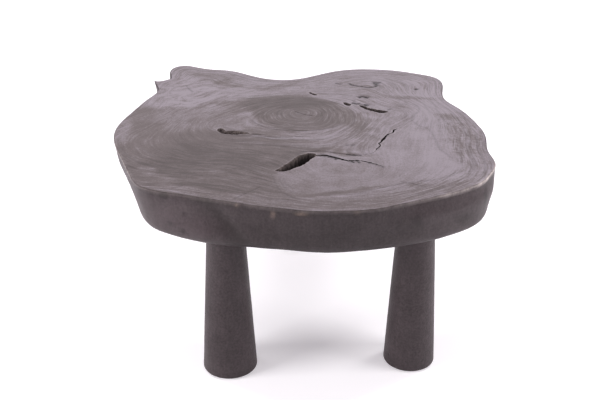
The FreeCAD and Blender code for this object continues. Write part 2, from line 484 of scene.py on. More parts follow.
class Shell:
    """The points and faces of one piece while it is put together."""

    def __init__(self) -> None:
        """Start with nothing."""
        self.points: list[Array] = []
        self.faces: list[tuple[int, ...]] = []
        self.sides: list[int] = []

    def add(self, points: Array, faces: Sequence[Sequence[int]], side: Side) -> None:
        """Add a patch of surface.

        Args:
            points: Its points.
            faces: Its faces, numbered within the patch.
            side: Which of the piece's surfaces it belongs to.
        """
        first = sum(len(block) for block in self.points)
        self.points.append(points)
        self.faces.extend(tuple(first + int(i) for i in face) for face in faces)
        self.sides.extend([side.value] * len(faces))

    def add_band(self, rows: Sequence[Array], side: Side) -> None:
        """Add the strip between closed loops of equal length.

        Args:
            rows: The loops. Seen from outside, each lies below the one before, and runs to the right.
            side: Which of the piece's surfaces the strip belongs to.
        """
        count = len(rows[0])
        faces = []
        for row in range(len(rows) - 1):
            for i in range(count):
                j = (i + 1) % count
                upper, lower = row * count, (row + 1) * count
                faces.append((upper + i, lower + i, lower + j, upper + j))
        self.add(np.vstack(rows), faces, side)

    def to_object(self, name: str, sharp_degrees: float) -> bpy.types.Object:
        """Close the seams and make an object.

        Args:
            name: The object's name.
            sharp_degrees: The bend from which an edge stays sharp.

        Returns:
            The new object, in the scene.
        """
        mesh = bpy.data.meshes.new(name)
        mesh.from_pydata(np.vstack(self.points).tolist(), [], self.faces)
        mesh.polygons.foreach_set("material_index", self.sides)
        joined = bmesh.new()
        joined.from_mesh(mesh)
        bmesh.ops.remove_doubles(joined, verts=joined.verts, dist=SEAM_WELD)
        bmesh.ops.triangulate(joined, faces=joined.faces)
        open_edges = sum(not edge.is_manifold for edge in joined.edges)
        joined.to_mesh(mesh)
        joined.free()
        mesh.shade_smooth()
        mesh.set_sharp_from_angle(angle=math.radians(sharp_degrees))
        log.info("%s: %d triangles, %d open edges", name, len(mesh.polygons), open_edges)
        return into_scene(bpy.data.objects.new(name, mesh))


def into_scene(thing: bpy.types.Object) -> bpy.types.Object:
    """Link an object to the scene and hand it back."""
    bpy.context.scene.collection.objects.link(thing)
    return thing


def write_attribute(mesh: bpy.types.Mesh, name: str, values: Array) -> None:
    """Give each point of a mesh a value that materials can read.

    Args:
        mesh: The mesh.
        name: The attribute's name.
        values: One value for each point.
    """
    mesh.attributes.new(name, "FLOAT", "POINT").data.foreach_set("value", values.astype(np.float32))


def seat(piece: bpy.types.Object, slot: Slot, *nodes: str) -> None:
    """Make a finished piece part of the table.

    Args:
        piece: The piece.
        slot: The material slot for the piece. It is not used.
        nodes: The CAD nodes that it stands for.
    """
    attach(piece, BODY)
    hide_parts(*nodes)
    log.info("%s stands for %s", piece.name, ", ".join(nodes))


# Node trees

class Graph:
    """A node tree while it is laid out."""

    def __init__(self, tree: bpy.types.NodeTree) -> None:
        """Take a tree over."""
        self.tree = tree

    def add(self, kind: str, feeds: Optional[dict[Union[str, int], Feed]] = None, **settings: object
            ) -> bpy.types.Node:
        """Add a node.

        Args:
            kind: The node's type.
            feeds: What goes into its inputs, by name or number: a socket to link, or a constant.
            settings: The node's own properties.

        Returns:
            The node.
        """
        node = self.tree.nodes.new(kind)
        for name, value in settings.items():
            setattr(node, name, value)
        for key, value in (feeds or {}).items():
            self.feed(node.inputs[key], value)
        return node

    def feed(self, socket: Socket, value: Feed) -> None:
        """Link a socket to another one, or set it to a constant.

        Args:
            socket: The socket.
            value: The other one, or the constant.
        """
        if isinstance(value, Socket):
            self.tree.links.new(value, socket)
        else:
            socket.default_value = value

    def calc(self, operation: str, *values: Feed, clamp: bool = False) -> Socket:
        """Work out one value from others.

        Args:
            operation: The sum to do.
            values: What it is done with.
            clamp: Whether the result is kept between 0 and 1.

        Returns:
            The result.
        """
        feeds = dict(enumerate(values))
        return self.add("ShaderNodeMath", feeds, operation=operation, use_clamp=clamp).outputs[0]

    def times(self, first: Feed, second: Feed, clamp: bool = False) -> Socket:
        """The product of two values."""
        return self.calc("MULTIPLY", first, second, clamp=clamp)

    def remap(self, value: Feed, low: float, high: float, start: float = 0.0, end: float = 1.0,
              smooth: bool = False) -> Socket:
        """Stretch one range over another.

        Args:
            value: The value to stretch.
            low, high: The range that it has.
            start, end: The range that it gets.
            smooth: Whether the ends ease in and out.

        Returns:
            The new value, kept between start and end.
        """
        feeds = {"Value": value, "From Min": low, "From Max": high, "To Min": start, "To Max": end}
        kind = "SMOOTHSTEP" if smooth else "LINEAR"
        return self.add("ShaderNodeMapRange", feeds, interpolation_type=kind).outputs["Result"]

    def blend(self, share: Feed, first: Feed, second: Feed, way: str = "MIX") -> Socket:
        """Blend two colours.

        Args:
            share: How much of the second one there is.
            first, second: The colours.
            way: How they are blended.

        Returns:
            The blended colour.
        """
        feeds = {0: share, 6: first, 7: second}
        return self.add("ShaderNodeMix", feeds, data_type="RGBA", blend_type=way).outputs[2]

    def noise(self, place: Feed, scale: Feed, detail: float = 3.0, rough: float = 0.55) -> Socket:
        """Smooth noise.

        Args:
            place: Where the noise is read.
            scale: How many features it has in a metre.
            detail: How many finer layers are added.
            rough: How strong the finer layers are.

        Returns:
            A value between 0 and 1, mostly near 0.5.
        """
        feeds = {"Vector": place, "Scale": scale, "Detail": detail, "Roughness": rough}
        return self.add("ShaderNodeTexNoise", feeds).outputs["Fac"]

    def stretched(self, place: Feed, stretch: Sequence[float], turn_degrees: float = 0.0) -> Socket:
        """Coordinates that are scaled along turned axes.

        Args:
            place: The coordinates.
            stretch: The scale along the turned X and Y, and along Z.
            turn_degrees: How far the axes are turned about Z.

        Returns:
            The new coordinates.
        """
        feeds = {"Vector": place, "Rotation": (0.0, 0.0, -math.radians(turn_degrees))}
        turned = self.add("ShaderNodeMapping", feeds).outputs["Vector"]
        return self.add("ShaderNodeMapping", {"Vector": turned, "Scale": stretch}).outputs["Vector"]

    def stacked(self, layers: Sequence[tuple[Feed, Feed]]) -> Socket:
        """Layers of noise, added up.

        Args:
            layers: Each layer's value, about 0.5, and its share.

        Returns:
            The sum, about 0.
        """
        total = 0.0
        for value, share in layers:
            total = self.calc("MULTIPLY_ADD", self.calc("SUBTRACT", value, 0.5), share, total)
        return total

    def parts(self, vector: Feed) -> Sequence[Socket]:
        """A vector's X, Y and Z, by name."""
        return self.add("ShaderNodeSeparateXYZ", {"Vector": vector}).outputs

    def vector(self, x: Feed, y: Feed, z: Feed) -> Socket:
        """A vector from its X, Y and Z."""
        return self.add("ShaderNodeCombineXYZ", {"X": x, "Y": y, "Z": z}).outputs[0]

    def attribute(self, name: str) -> Socket:
        """A value that the piece's mesh carries."""
        return self.add("ShaderNodeAttribute", attribute_name=name).outputs["Fac"]

    def object_place(self) -> Socket:
        """Where a point is, in the part's own frame."""
        return self.add("ShaderNodeTexCoord").outputs["Object"]

    def effect(self, effect: "Effect", feeds: dict[str, Feed]) -> Socket:
        """Place a shared effect.

        Args:
            effect: The effect.
            feeds: What goes into it.

        Returns:
            Its first output.
        """
        return self.add("ShaderNodeGroup", feeds, node_tree=effect.group()).outputs[0]

    def bump(self, height: Feed, depth: float) -> Socket:
        """A surface normal with small relief.

        Args:
            height: The relief, 0 to 1.
            depth: How deep it is, in metres.

        Returns:
            The normal.
        """
        feeds = {"Height": height, "Distance": depth, "Strength": 1.0}
        return self.add("ShaderNodeBump", feeds).outputs["Normal"]


# Effects that several finishes share

@dataclass(frozen=True)
class Effect:
    """A shared shader node group. Its inputs have default values, and None stands for coordinates."""

    name: str
    inputs: dict[str, Optional[float]]
    output: str
    lay_out: Callable[[Graph, Sockets], Socket]

    def group(self) -> bpy.types.NodeTree:
        """The node group, built when it is first asked for.

        Returns:
            The group.
        """
        found = bpy.data.node_groups.get(self.name)
        if found is not None:
            return found
        tree = bpy.data.node_groups.new(self.name, "ShaderNodeTree")
        for label, value in self.inputs.items():
            kind = "NodeSocketVector" if value is None else "NodeSocketFloat"
            socket = tree.interface.new_socket(label, in_out="INPUT", socket_type=kind)
            if value is not None:
                socket.default_value = value
        tree.interface.new_socket(self.output, in_out="OUTPUT", socket_type="NodeSocketFloat")
        graph = Graph(tree)
        sources = graph.add("NodeGroupInput").outputs
        result = self.lay_out(graph, {label: sources[label] for label in self.inputs})
        graph.add("NodeGroupOutput", {self.output: result})
        return tree


def growth_lines(graph: Graph, given: Sockets) -> Socket:
    """Growth rings: dark lines at uneven distances, which fade in and out along their way.

    Args:
        graph: The effect's tree.
        given: Its inputs.

    Returns:
        How much of a line there is.
    """
    waver = graph.noise(given["Place"], scale=26.0, detail=4.0)
    ring = graph.calc("MULTIPLY_ADD", waver, given["Waver"], given["Ring"])
    year = graph.calc("DIVIDE", ring, given["Spacing"])
    feeds = {"W": year, "Scale": 1.0, "Detail": 4.0, "Roughness": 0.72}
    broad = graph.add("ShaderNodeTexNoise", feeds, noise_dimensions="1D").outputs["Fac"]
    lines = graph.remap(broad, 0.42, 0.68, smooth=True)
    along = graph.noise(given["Place"], scale=9.0, detail=2.0)
    fading = graph.remap(along, 0.34, 0.62, start=0.25, end=1.0, smooth=True)
    return graph.times(lines, fading)


def ring_streaks(graph: Graph, given: Sockets) -> Socket:
    """Fine streaks that run along the growth rings.

    Args:
        graph: The effect's tree.
        given: Its inputs.

    Returns:
        How pale the streaks are.
    """
    spot = graph.parts(given["Place"])
    x, y = (graph.times(spot[axis], given["Along"]) for axis in ("X", "Y"))
    bent = graph.vector(x, y, graph.times(given["Ring"], given["Across"]))
    return graph.noise(bent, scale=1.0, detail=3.0, rough=0.6)


def stain_mottle(graph: Graph, given: Sockets) -> Socket:
    """Uneven stain: cloudy patches with finer blotches on them.

    Args:
        graph: The effect's tree.
        given: Its inputs.

    Returns:
        How pale the stain is.
    """
    blotches_in_cloud, blotch_share = 7.0, 0.35
    clouds = graph.noise(given["Place"], given["Patches"], detail=5.0, rough=0.62)
    fine = graph.times(given["Patches"], blotches_in_cloud)
    blotches = graph.noise(given["Place"], fine, detail=3.0, rough=0.6)
    return graph.blend(blotch_share, clouds, blotches)


def pore_specks(graph: Graph, given: Sockets) -> Socket:
    """Open pores: small dark specks, some cells left empty.

    Args:
        graph: The effect's tree.
        given: Its inputs.

    Returns:
        How much of a speck there is.
    """
    feeds = {"Vector": given["Place"], "Scale": given["Count"], "Randomness": 1.0}
    cells = graph.add("ShaderNodeTexVoronoi", feeds)
    pick = graph.add("ShaderNodeSeparateColor", {"Color": cells.outputs["Color"]}).outputs["Red"]
    dot = graph.remap(cells.outputs["Distance"], 0.12, 0.34, start=1.0, end=0.0)
    return graph.times(dot, graph.remap(pick, 0.45, 0.9))


def wear_and_highlight_patches(graph: Graph, given: Sockets) -> Socket:
    """Worn stain and a painted highlight: where the mesh says that an edge is rubbed or catches the light,
    unevenly.

    Args:
        graph: The effect's tree.
        given: Its inputs.

    Returns:
        How much worn stain and painted highlight there is, 0 to 1.
    """
    patches = graph.noise(given["Place"], given["Patches"], detail=4.0, rough=0.65)
    uneven = graph.remap(patches, 0.3, 0.62, start=0.35, end=1.0)
    return graph.times(given["Wear"], uneven, clamp=True)


GROWTH_LINES = Effect("growth_lines", {"Place": None, "Ring": 0.0, "Spacing": 0.01, "Waver": 0.004},
                      "Line", growth_lines)
RING_STREAKS = Effect("ring_streaks", {"Place": None, "Ring": 0.0, "Along": 20.0, "Across": 300.0},
                      "Streak", ring_streaks)
STAIN_MOTTLE = Effect("stain_mottle", {"Place": None, "Patches": 10.0}, "Mottle", stain_mottle)
PORE_SPECKS = Effect("pore_specks", {"Place": None, "Count": 400.0}, "Speck", pore_specks)
WEAR_AND_HIGHLIGHT_PATCHES = Effect("wear_and_highlight_patches", {"Place": None, "Wear": 0.0, "Patches": 90.0}, "Worn", wear_and_highlight_patches)


# Finishes

@dataclass(frozen=True)
class Finish:
    """What one surface looks like."""

    name: str

    def material(self) -> bpy.types.Material:
        """The finish's material, made when it is first asked for.

        Returns:
            The material.
        """
        found = bpy.data.materials.get(self.name)
        if found is not None:
            return found
        material = bpy.data.materials.new(self.name)
        material.use_nodes = True
        surface = material.node_tree.nodes["Principled BSDF"]
        self.lay_out(Graph(material.node_tree), surface)
        return material

    def lay_out(self, graph: Graph, surface: bpy.types.Node) -> None:
        """Lay the material's nodes out.

        Args:
            graph: The material's tree.
            surface: Its shader.
        """
        raise NotImplementedError


@dataclass(frozen=True)
class TopFinish(Finish):
    """The sawn and smoothed top face: stained end grain under wax."""

    dark: Colour = srgb(74, 64, 63)
    middle: Colour = srgb(99, 88, 88)
    # pale: pale wood, and the painted waxy sheen toward the right, the rear and on the lobe
    pale: Colour = srgb(146, 136, 144)
    line: Colour = srgb(46, 39, 41)
    # rubbed: pale rubbed stain, and the painted highlight that the rounded rim and the lips of the holes
    # catch
    rubbed: Colour = srgb(186, 174, 178)
    # crack: painted shade in cracks and pits too fine for the mesh to shade, and the dark of single rings
    crack: Colour = srgb(28, 23, 24)
    ring_spacing: float = 9 * MM
    line_strength: float = 0.3
    pore_strength: float = 0.3
    heart: tuple[float, float, float] = (3 * MM, 82 * MM, 0.0)
    streaks: tuple[tuple[float, float, float], ...] = ((9.0, 105.0, 0.5), (22.0, 330.0, 1.5))
    cloud_share: float = 0.9
    fibre_share: float = 0.95
    wisp_share: float = 1.9
    least_hatch: float = 0.2
    most_hatch: float = 0.9
    cloud_count: float = 22.0
    fibre_count: float = 300.0
    pore_count: float = 420.0
    middle_at: float = 0.45
    lines_in_wisps: float = 0.1
    streaks_in_wisps: float = 0.2
    wisp_stretch: tuple[float, float, float] = (10.0, 24.0, 1.0)
    wisp_turn_degrees: float = 36.0
    marks_round: float = 96.0
    marks_out: float = 0.35
    relief: float = 0.12 * MM

    def lay_out(self, graph: Graph, surface: bpy.types.Node) -> None:
        """Lay the material's nodes out.

        Args:
            graph: The material's tree.
            surface: Its shader.
        """
        place = graph.object_place()
        ring = graph.attribute("ring")
        liveliness = graph.attribute("lively")
        wisp = graph.attribute("wisp")
        cloud = graph.effect(STAIN_MOTTLE, {"Place": place, "Patches": self.cloud_count})
        fibre = graph.noise(place, self.fibre_count, detail=4.0, rough=0.75)
        ground = graph.stacked([(cloud, self.cloud_share), (fibre, self.fibre_share)])
        figure = self.figure(graph, place, ring, wisp)
        grain = graph.calc("MULTIPLY_ADD", figure, liveliness, ground)
        # The tone attribute holds the wood's tones together with a painted sheen
        tone_and_painted_light = graph.calc("ADD", grain, graph.attribute("tone_and_painted_light"))
        ramp = graph.add("ShaderNodeValToRGB", {"Fac": tone_and_painted_light})
        ramp.color_ramp.elements[0].color = self.dark
        ramp.color_ramp.elements[1].color = self.pale
        ramp.color_ramp.elements.new(self.middle_at).color = self.middle
        feeds = {"Place": place, "Ring": ring, "Spacing": self.ring_spacing}
        lines = graph.times(graph.effect(GROWTH_LINES, feeds), liveliness)
        lines = graph.times(lines, graph.remap(wisp, 0.0, 1.0, 1.0, self.lines_in_wisps))
        shown = graph.times(lines, self.line_strength)
        colour = graph.blend(shown, ramp.outputs["Color"], self.line)
        specks = graph.effect(PORE_SPECKS, {"Place": place, "Count": self.pore_count})
        specks = graph.times(specks, liveliness)
        colour = graph.blend(graph.times(specks, self.pore_strength), colour, self.line)
        # Rubbed stain, and a painted highlight along the rim and the lips of the holes
        worn = graph.effect(WEAR_AND_HIGHLIGHT_PATCHES, {"Place": place, "Wear": graph.attribute("wear")})
        colour = graph.blend(worn, colour, self.rubbed)
        # Painted shade in cracks and pits, and dark lines in the wood
        colour = graph.blend(graph.attribute("crease"), colour, self.crack)
        graph.feed(surface.inputs["Base Color"], colour)
        graph.feed(surface.inputs["Roughness"], graph.remap(grain, -0.4, 0.4, start=0.5, end=0.4))
        height = graph.calc("SUBTRACT", grain, specks)
        graph.feed(surface.inputs["Normal"], graph.bump(height, self.relief))

    def figure(self, graph: Graph, place: Feed, ring: Feed, wisp: Feed) -> Socket:
        """How much paler than its surroundings the grown figure is at each point.

        Args:
            graph: The material's tree.
            place: Where the point is.
            ring: How far out it grew.
            wisp: How twisted the wood is there.

        Returns:
            A value about 0: streaks along the rings, marks across them, and wisps in twisted wood.
        """
        layers = []
        for along, across, share in self.streaks:
            feeds = {"Place": place, "Ring": ring, "Along": along, "Across": across}
            streaks = graph.effect(RING_STREAKS, feeds)
            least = self.streaks_in_wisps * share
            layers.append((streaks, graph.remap(wisp, 0.0, 1.0, share, least)))
        layers.append((self.wisps(graph, place), graph.times(wisp, self.wisp_share)))
        hatch = graph.remap(graph.attribute("hatch"), 0.0, 1.0, self.least_hatch, self.most_hatch)
        layers.append((self.marks_across(graph, place, ring), hatch))
        return graph.stacked(layers)

    def wisps(self, graph: Graph, place: Feed) -> Socket:
        """Twisted figure, as near a fork: slanting wisps that curl into each other.

        Args:
            graph: The material's tree.
            place: Where the point is.

        Returns:
            A value between 0 and 1.
        """
        slanted = graph.stretched(place, self.wisp_stretch, self.wisp_turn_degrees)
        feeds = {"Vector": slanted, "Scale": 1.0, "Detail": 4.0, "Roughness": 0.6, "Distortion": 2.6}
        return graph.add("ShaderNodeTexNoise", feeds).outputs["Fac"]

    def marks_across(self, graph: Graph, place: Feed, ring: Feed) -> Socket:
        """Marks that run out from the heart, across the rings.

        Args:
            graph: The material's tree.
            place: Where the point is.
            ring: How far out it grew.

        Returns:
            A value between 0 and 1.
        """
        feeds = {0: place, 1: self.heart}
        way = graph.add("ShaderNodeVectorMath", feeds, operation="SUBTRACT").outputs[0]
        way = graph.add("ShaderNodeVectorMath", {0: way}, operation="NORMALIZE").outputs[0]
        spot = graph.parts(way)
        bent = graph.vector(spot["X"], spot["Y"], graph.times(ring, self.marks_out))
        return graph.noise(bent, self.marks_round, detail=3.0, rough=0.65)


@dataclass(frozen=True)
class SideFinish(Finish):
    """Stained wood seen along its fibres, as on the slab's flank and underside."""

    dark: Colour = srgb(37, 30, 31)
    pale: Colour = srgb(66, 56, 59)
    # rubbed: pale rubbed stain at the top of the flank, and the painted highlight that the rounded rim
    # catches
    rubbed: Colour = srgb(186, 174, 172)
    bare: Colour = srgb(150, 129, 117)
    pit: Colour = srgb(28, 22, 22)
    cloud_count: float = 15.0
    cloud_share: float = 0.9
    fibre_count: float = 170.0
    fibre_share: float = 0.3
    fibre_stretch: tuple[float, float, float] = (1.0, 1.0, 0.12)
    pit_count: float = 150.0
    pit_share: float = 0.6
    pit_stretch: tuple[float, float, float] = (1.0, 1.0, 0.5)
    gloss: float = 0.35
    speckle: float = 0.5
    speckle_count: float = 230.0
    relief: float = 0.3 * MM
    seed: float = 0.0

    def lay_out(self, graph: Graph, surface: bpy.types.Node) -> None:
        """Lay the material's nodes out.

        Args:
            graph: The material's tree.
            surface: Its shader.
        """
        place = graph.object_place()
        feeds = {"Vector": place, "Location": (self.seed,) * 3}
        shifted = graph.add("ShaderNodeMapping", feeds).outputs["Vector"]
        mottle = graph.effect(STAIN_MOTTLE, {"Place": shifted, "Patches": self.cloud_count})
        along = graph.stretched(shifted, self.fibre_stretch)
        fibre = graph.noise(along, self.fibre_count, detail=4.0, rough=0.6)
        fibrous = graph.times(fibre, self.fibre_share)
        cloudy = graph.calc("MULTIPLY_ADD", mottle, self.cloud_share, fibrous)
        rough = graph.noise(shifted, self.speckle_count, detail=2.0)
        cloudy = graph.calc("ADD", cloudy, graph.stacked([(rough, self.speckle)]))
        # The shade attribute holds painted shade and light on the flank, together with real dark marks
        tone_and_painted_light = graph.calc("SUBTRACT", cloudy, graph.attribute("shade"))
        colour = graph.blend(graph.remap(tone_and_painted_light, 0.3, 0.9), self.dark, self.pale)
        feeds = {"Place": graph.stretched(shifted, self.pit_stretch), "Count": self.pit_count}
        specks = graph.effect(PORE_SPECKS, feeds)
        pits = graph.times(specks, graph.remap(mottle, 0.5, 0.6))
        colour = graph.blend(graph.times(pits, self.pit_share), colour, self.pit)
        # wear is rubbed stain and a painted rim highlight; smear is bare wood
        for attribute, shown in (("wear", self.rubbed), ("smear", self.bare)):
            worn = graph.effect(WEAR_AND_HIGHLIGHT_PATCHES, {"Place": place, "Wear": graph.attribute(attribute)})
            colour = graph.blend(worn, colour, shown)
        graph.feed(surface.inputs["Base Color"], colour)
        surface.inputs["Specular IOR Level"].default_value = self.gloss
        graph.feed(surface.inputs["Roughness"], graph.remap(mottle, 0.3, 0.7, start=0.58, end=0.46))
        relief = graph.calc("MULTIPLY_ADD", fibre, 0.5, graph.times(rough, self.speckle))
        relief = graph.calc("SUBTRACT", relief, pits)
        graph.feed(surface.inputs["Normal"], graph.bump(relief, self.relief))


@dataclass(frozen=True)
class LegFinish(SideFinish):
    """The legs' stain, darker and rougher than the slab's."""

    dark: Colour = srgb(35, 28, 29)
    pale: Colour = srgb(62, 52, 55)
    speckle: float = 0.9
    relief: float = 0.8 * MM


@dataclass(frozen=True)
class HollowFinish(Finish):
    """Raw, weathered wood inside the natural holes and cracks, with painted shade: darker the deeper it
    lies, and darkest in the narrow ones.
    """

    rim: Colour = srgb(92, 82, 81)
    # deep: painted shade at the bottom of the holes
    deep: Colour = srgb(36, 30, 30)
    torn: Colour = srgb(24, 19, 19)
    dusty: Colour = srgb(120, 109, 106)
    top: float = 0.43
    fade: float = 28 * MM
    torn_count: float = 420.0
    torn_stretch: tuple[float, float, float] = (1.0, 1.0, 0.14)
    cloud_count: float = 34.0
    dust_count: float = 130.0
    relief: float = 1.0 * MM

    def lay_out(self, graph: Graph, surface: bpy.types.Node) -> None:
        """Lay the material's nodes out.

        Args:
            graph: The material's tree.
            surface: Its shader.
        """
        place = graph.object_place()
        depth = graph.remap(graph.parts(place)["Z"], self.top, self.top - self.fade)
        fibres = graph.stretched(place, self.torn_stretch)
        torn = graph.noise(fibres, self.torn_count, detail=5.0, rough=0.7)
        mottle = graph.effect(STAIN_MOTTLE, {"Place": place, "Patches": self.cloud_count})
        # Painted shade: the wood darkens with depth
        colour = graph.blend(depth, self.rim, self.deep)
        colour = graph.blend(graph.remap(torn, 0.44, 0.7, end=0.8), colour, self.torn)
        colour = graph.blend(graph.remap(mottle, 0.54, 0.7, end=0.35), colour, self.dusty)
        specks = graph.effect(STAIN_MOTTLE, {"Place": place, "Patches": self.dust_count})
        lit = graph.remap(depth, 0.1, 0.5, start=0.7, end=0.0)
        shown = graph.times(graph.remap(specks, 0.5, 0.56), lit)
        colour = graph.blend(shown, colour, self.dusty)
        # Painted shade in holes too narrow for light to reach
        colour = graph.blend(graph.attribute("narrow_hole_shade"), colour, self.torn)
        graph.feed(surface.inputs["Base Color"], colour)
        graph.feed(surface.inputs["Roughness"], graph.remap(torn, 0.3, 0.7, start=0.8, end=0.95))
        graph.feed(surface.inputs["Normal"], graph.bump(torn, self.relief))


@dataclass(frozen=True)
class ZincFinish(Finish):
    """Zinc plated steel with a crystalline bloom and fine rubbing marks."""

    bright: Colour = srgb(196, 198, 200)
    dull: Colour = srgb(150, 152, 156)
    bloom_count: float = 90.0
    mark_count: float = 900.0
    mark_stretch: tuple[float, float, float] = (1.0, 0.06, 1.0)
    mark_turn_degrees: float = 30.0
    relief: float = 0.02 * MM

    def lay_out(self, graph: Graph, surface: bpy.types.Node) -> None:
        """Lay the material's nodes out.

        Args:
            graph: The material's tree.
            surface: Its shader.
        """
        place = graph.object_place()
        bloom = graph.effect(STAIN_MOTTLE, {"Place": place, "Patches": self.bloom_count})
        along = graph.stretched(place, self.mark_stretch, self.mark_turn_degrees)
        rubbed = graph.noise(along, self.mark_count, detail=2.0)
        colour = graph.blend(graph.remap(bloom, 0.38, 0.62), self.dull, self.bright)
        graph.feed(surface.inputs["Base Color"], colour)
        surface.inputs["Metallic"].default_value = 1.0
        graph.feed(surface.inputs["Roughness"], graph.remap(rubbed, 0.35, 0.65, start=0.3, end=0.46))
        graph.feed(surface.inputs["Normal"], graph.bump(rubbed, self.relief))


@dataclass(frozen=True)
class RubberFinish(Finish):
    """Matt moulded rubber, dusty from the floor."""

    black: Colour = srgb(38, 37, 37)
    dust: Colour = srgb(78, 75, 72)
    dust_count: float = 55.0
    grain_count: float = 1800.0
    relief: float = 0.1 * MM

    def lay_out(self, graph: Graph, surface: bpy.types.Node) -> None:
        """Lay the material's nodes out.

        Args:
            graph: The material's tree.
            surface: Its shader.
        """
        place = graph.object_place()
        dusty = graph.effect(STAIN_MOTTLE, {"Place": place, "Patches": self.dust_count})
        grain = graph.noise(place, self.grain_count, detail=2.0)
        colour = graph.blend(graph.remap(dusty, 0.5, 0.7, end=0.6), self.black, self.dust)
        graph.feed(surface.inputs["Base Color"], colour)
        graph.feed(surface.inputs["Roughness"], graph.remap(dusty, 0.35, 0.65, start=0.72, end=0.9))
        graph.feed(surface.inputs["Normal"], graph.bump(grain, self.relief))


@dataclass(frozen=True)
class FloorFinish(Finish):
    """A white studio floor. What the camera sees is lifted to white, more where the lamps don't reach."""

    white: Colour = (0.86, 0.84, 0.86, 1.0)
    cloudy: Colour = (0.82, 0.80, 0.82, 1.0)
    cloud_count: float = 2.0
    rough: float = 0.9
    gloss: float = 0.1
    lift: float = 0.33
    far_lift: float = 0.8
    near: float = 1.1
    far: float = 2.2
    lift_colour: Colour = (1.0, 0.95, 1.0, 1.0)

    def lay_out(self, graph: Graph, surface: bpy.types.Node) -> None:
        """Lay the material's nodes out.

        Args:
            graph: The material's tree.
            surface: Its shader.
        """
        place = graph.object_place()
        cloud = graph.noise(place, self.cloud_count, detail=3.0)
        tint = graph.blend(graph.remap(cloud, 0.3, 0.7, end=0.25), self.white, self.cloudy)
        graph.feed(surface.inputs["Base Color"], tint)
        surface.inputs["Roughness"].default_value = self.rough
        surface.inputs["Specular IOR Level"].default_value = self.gloss
        surface.inputs["Emission Color"].default_value = self.lift_colour
        away = graph.add("ShaderNodeVectorMath", {0: place}, operation="LENGTH").outputs["Value"]
        lift = graph.remap(away, self.near, self.far, self.lift, self.far_lift, smooth=True)
        graph.feed(surface.inputs["Emission Strength"], graph.times(seen_ray(graph), lift))


def seen_ray(graph: Graph) -> Socket:
    """What tells apart looking at a surface from lighting it.

    Args:
        graph: The tree.

    Returns:
        1 where the camera, a reflection or a refraction looks, and 0 for the light that falls on things.
    """
    rays = graph.add("ShaderNodeLightPath").outputs
    seen = graph.calc("MAXIMUM", rays["Is Camera Ray"], rays["Is Glossy Ray"])
    return graph.calc("MAXIMUM", seen, rays["Is Transmission Ray"])


# Slab

@dataclass(frozen=True)
class Eye:
    """A disc that growth rings run round, in millimetres. Its rings begin to count at start."""

    x: float
    y: float
    start: float
    reach: float


@dataclass(frozen=True)
class Patch:
    """A soft oval, in millimetres, and the level that something has there."""

    x: float
    y: float
    half_width: float
    half_depth: float
    level: float
    turn_degrees: float = 0.0
    softness: float = 0.45


@dataclass(frozen=True)
class Crease:
    """A hairline, scratch or pit in the top face, in millimetres. Its shade is painted shade in a crack or
    pit, and the wood's own dark along a line.
    """

    line: tuple[tuple[float, float], ...]
    width: float
    depth: float
    shade: float


# What the growth rings run round, and where they swell out, by level in millimetres
EYES = (Eye(3, 82, 0, 0), Eye(-140, 27, 122, 34), Eye(-188, 8, 122, 22))
SWIRLS = (
    Patch(252, 88, 64, 70, -52),
    Patch(90, -250, 120, 90, -95),
    Patch(-255, 330, 70, 60, -40),
    Patch(190, 300, 80, 50, -30),
    Patch(-300, 225, 55, 60, -45),
)
TRUNK_RADIUS = 340 * MM
HEWN_SIDE = Patch(-370, -170, 110, 200, 130)

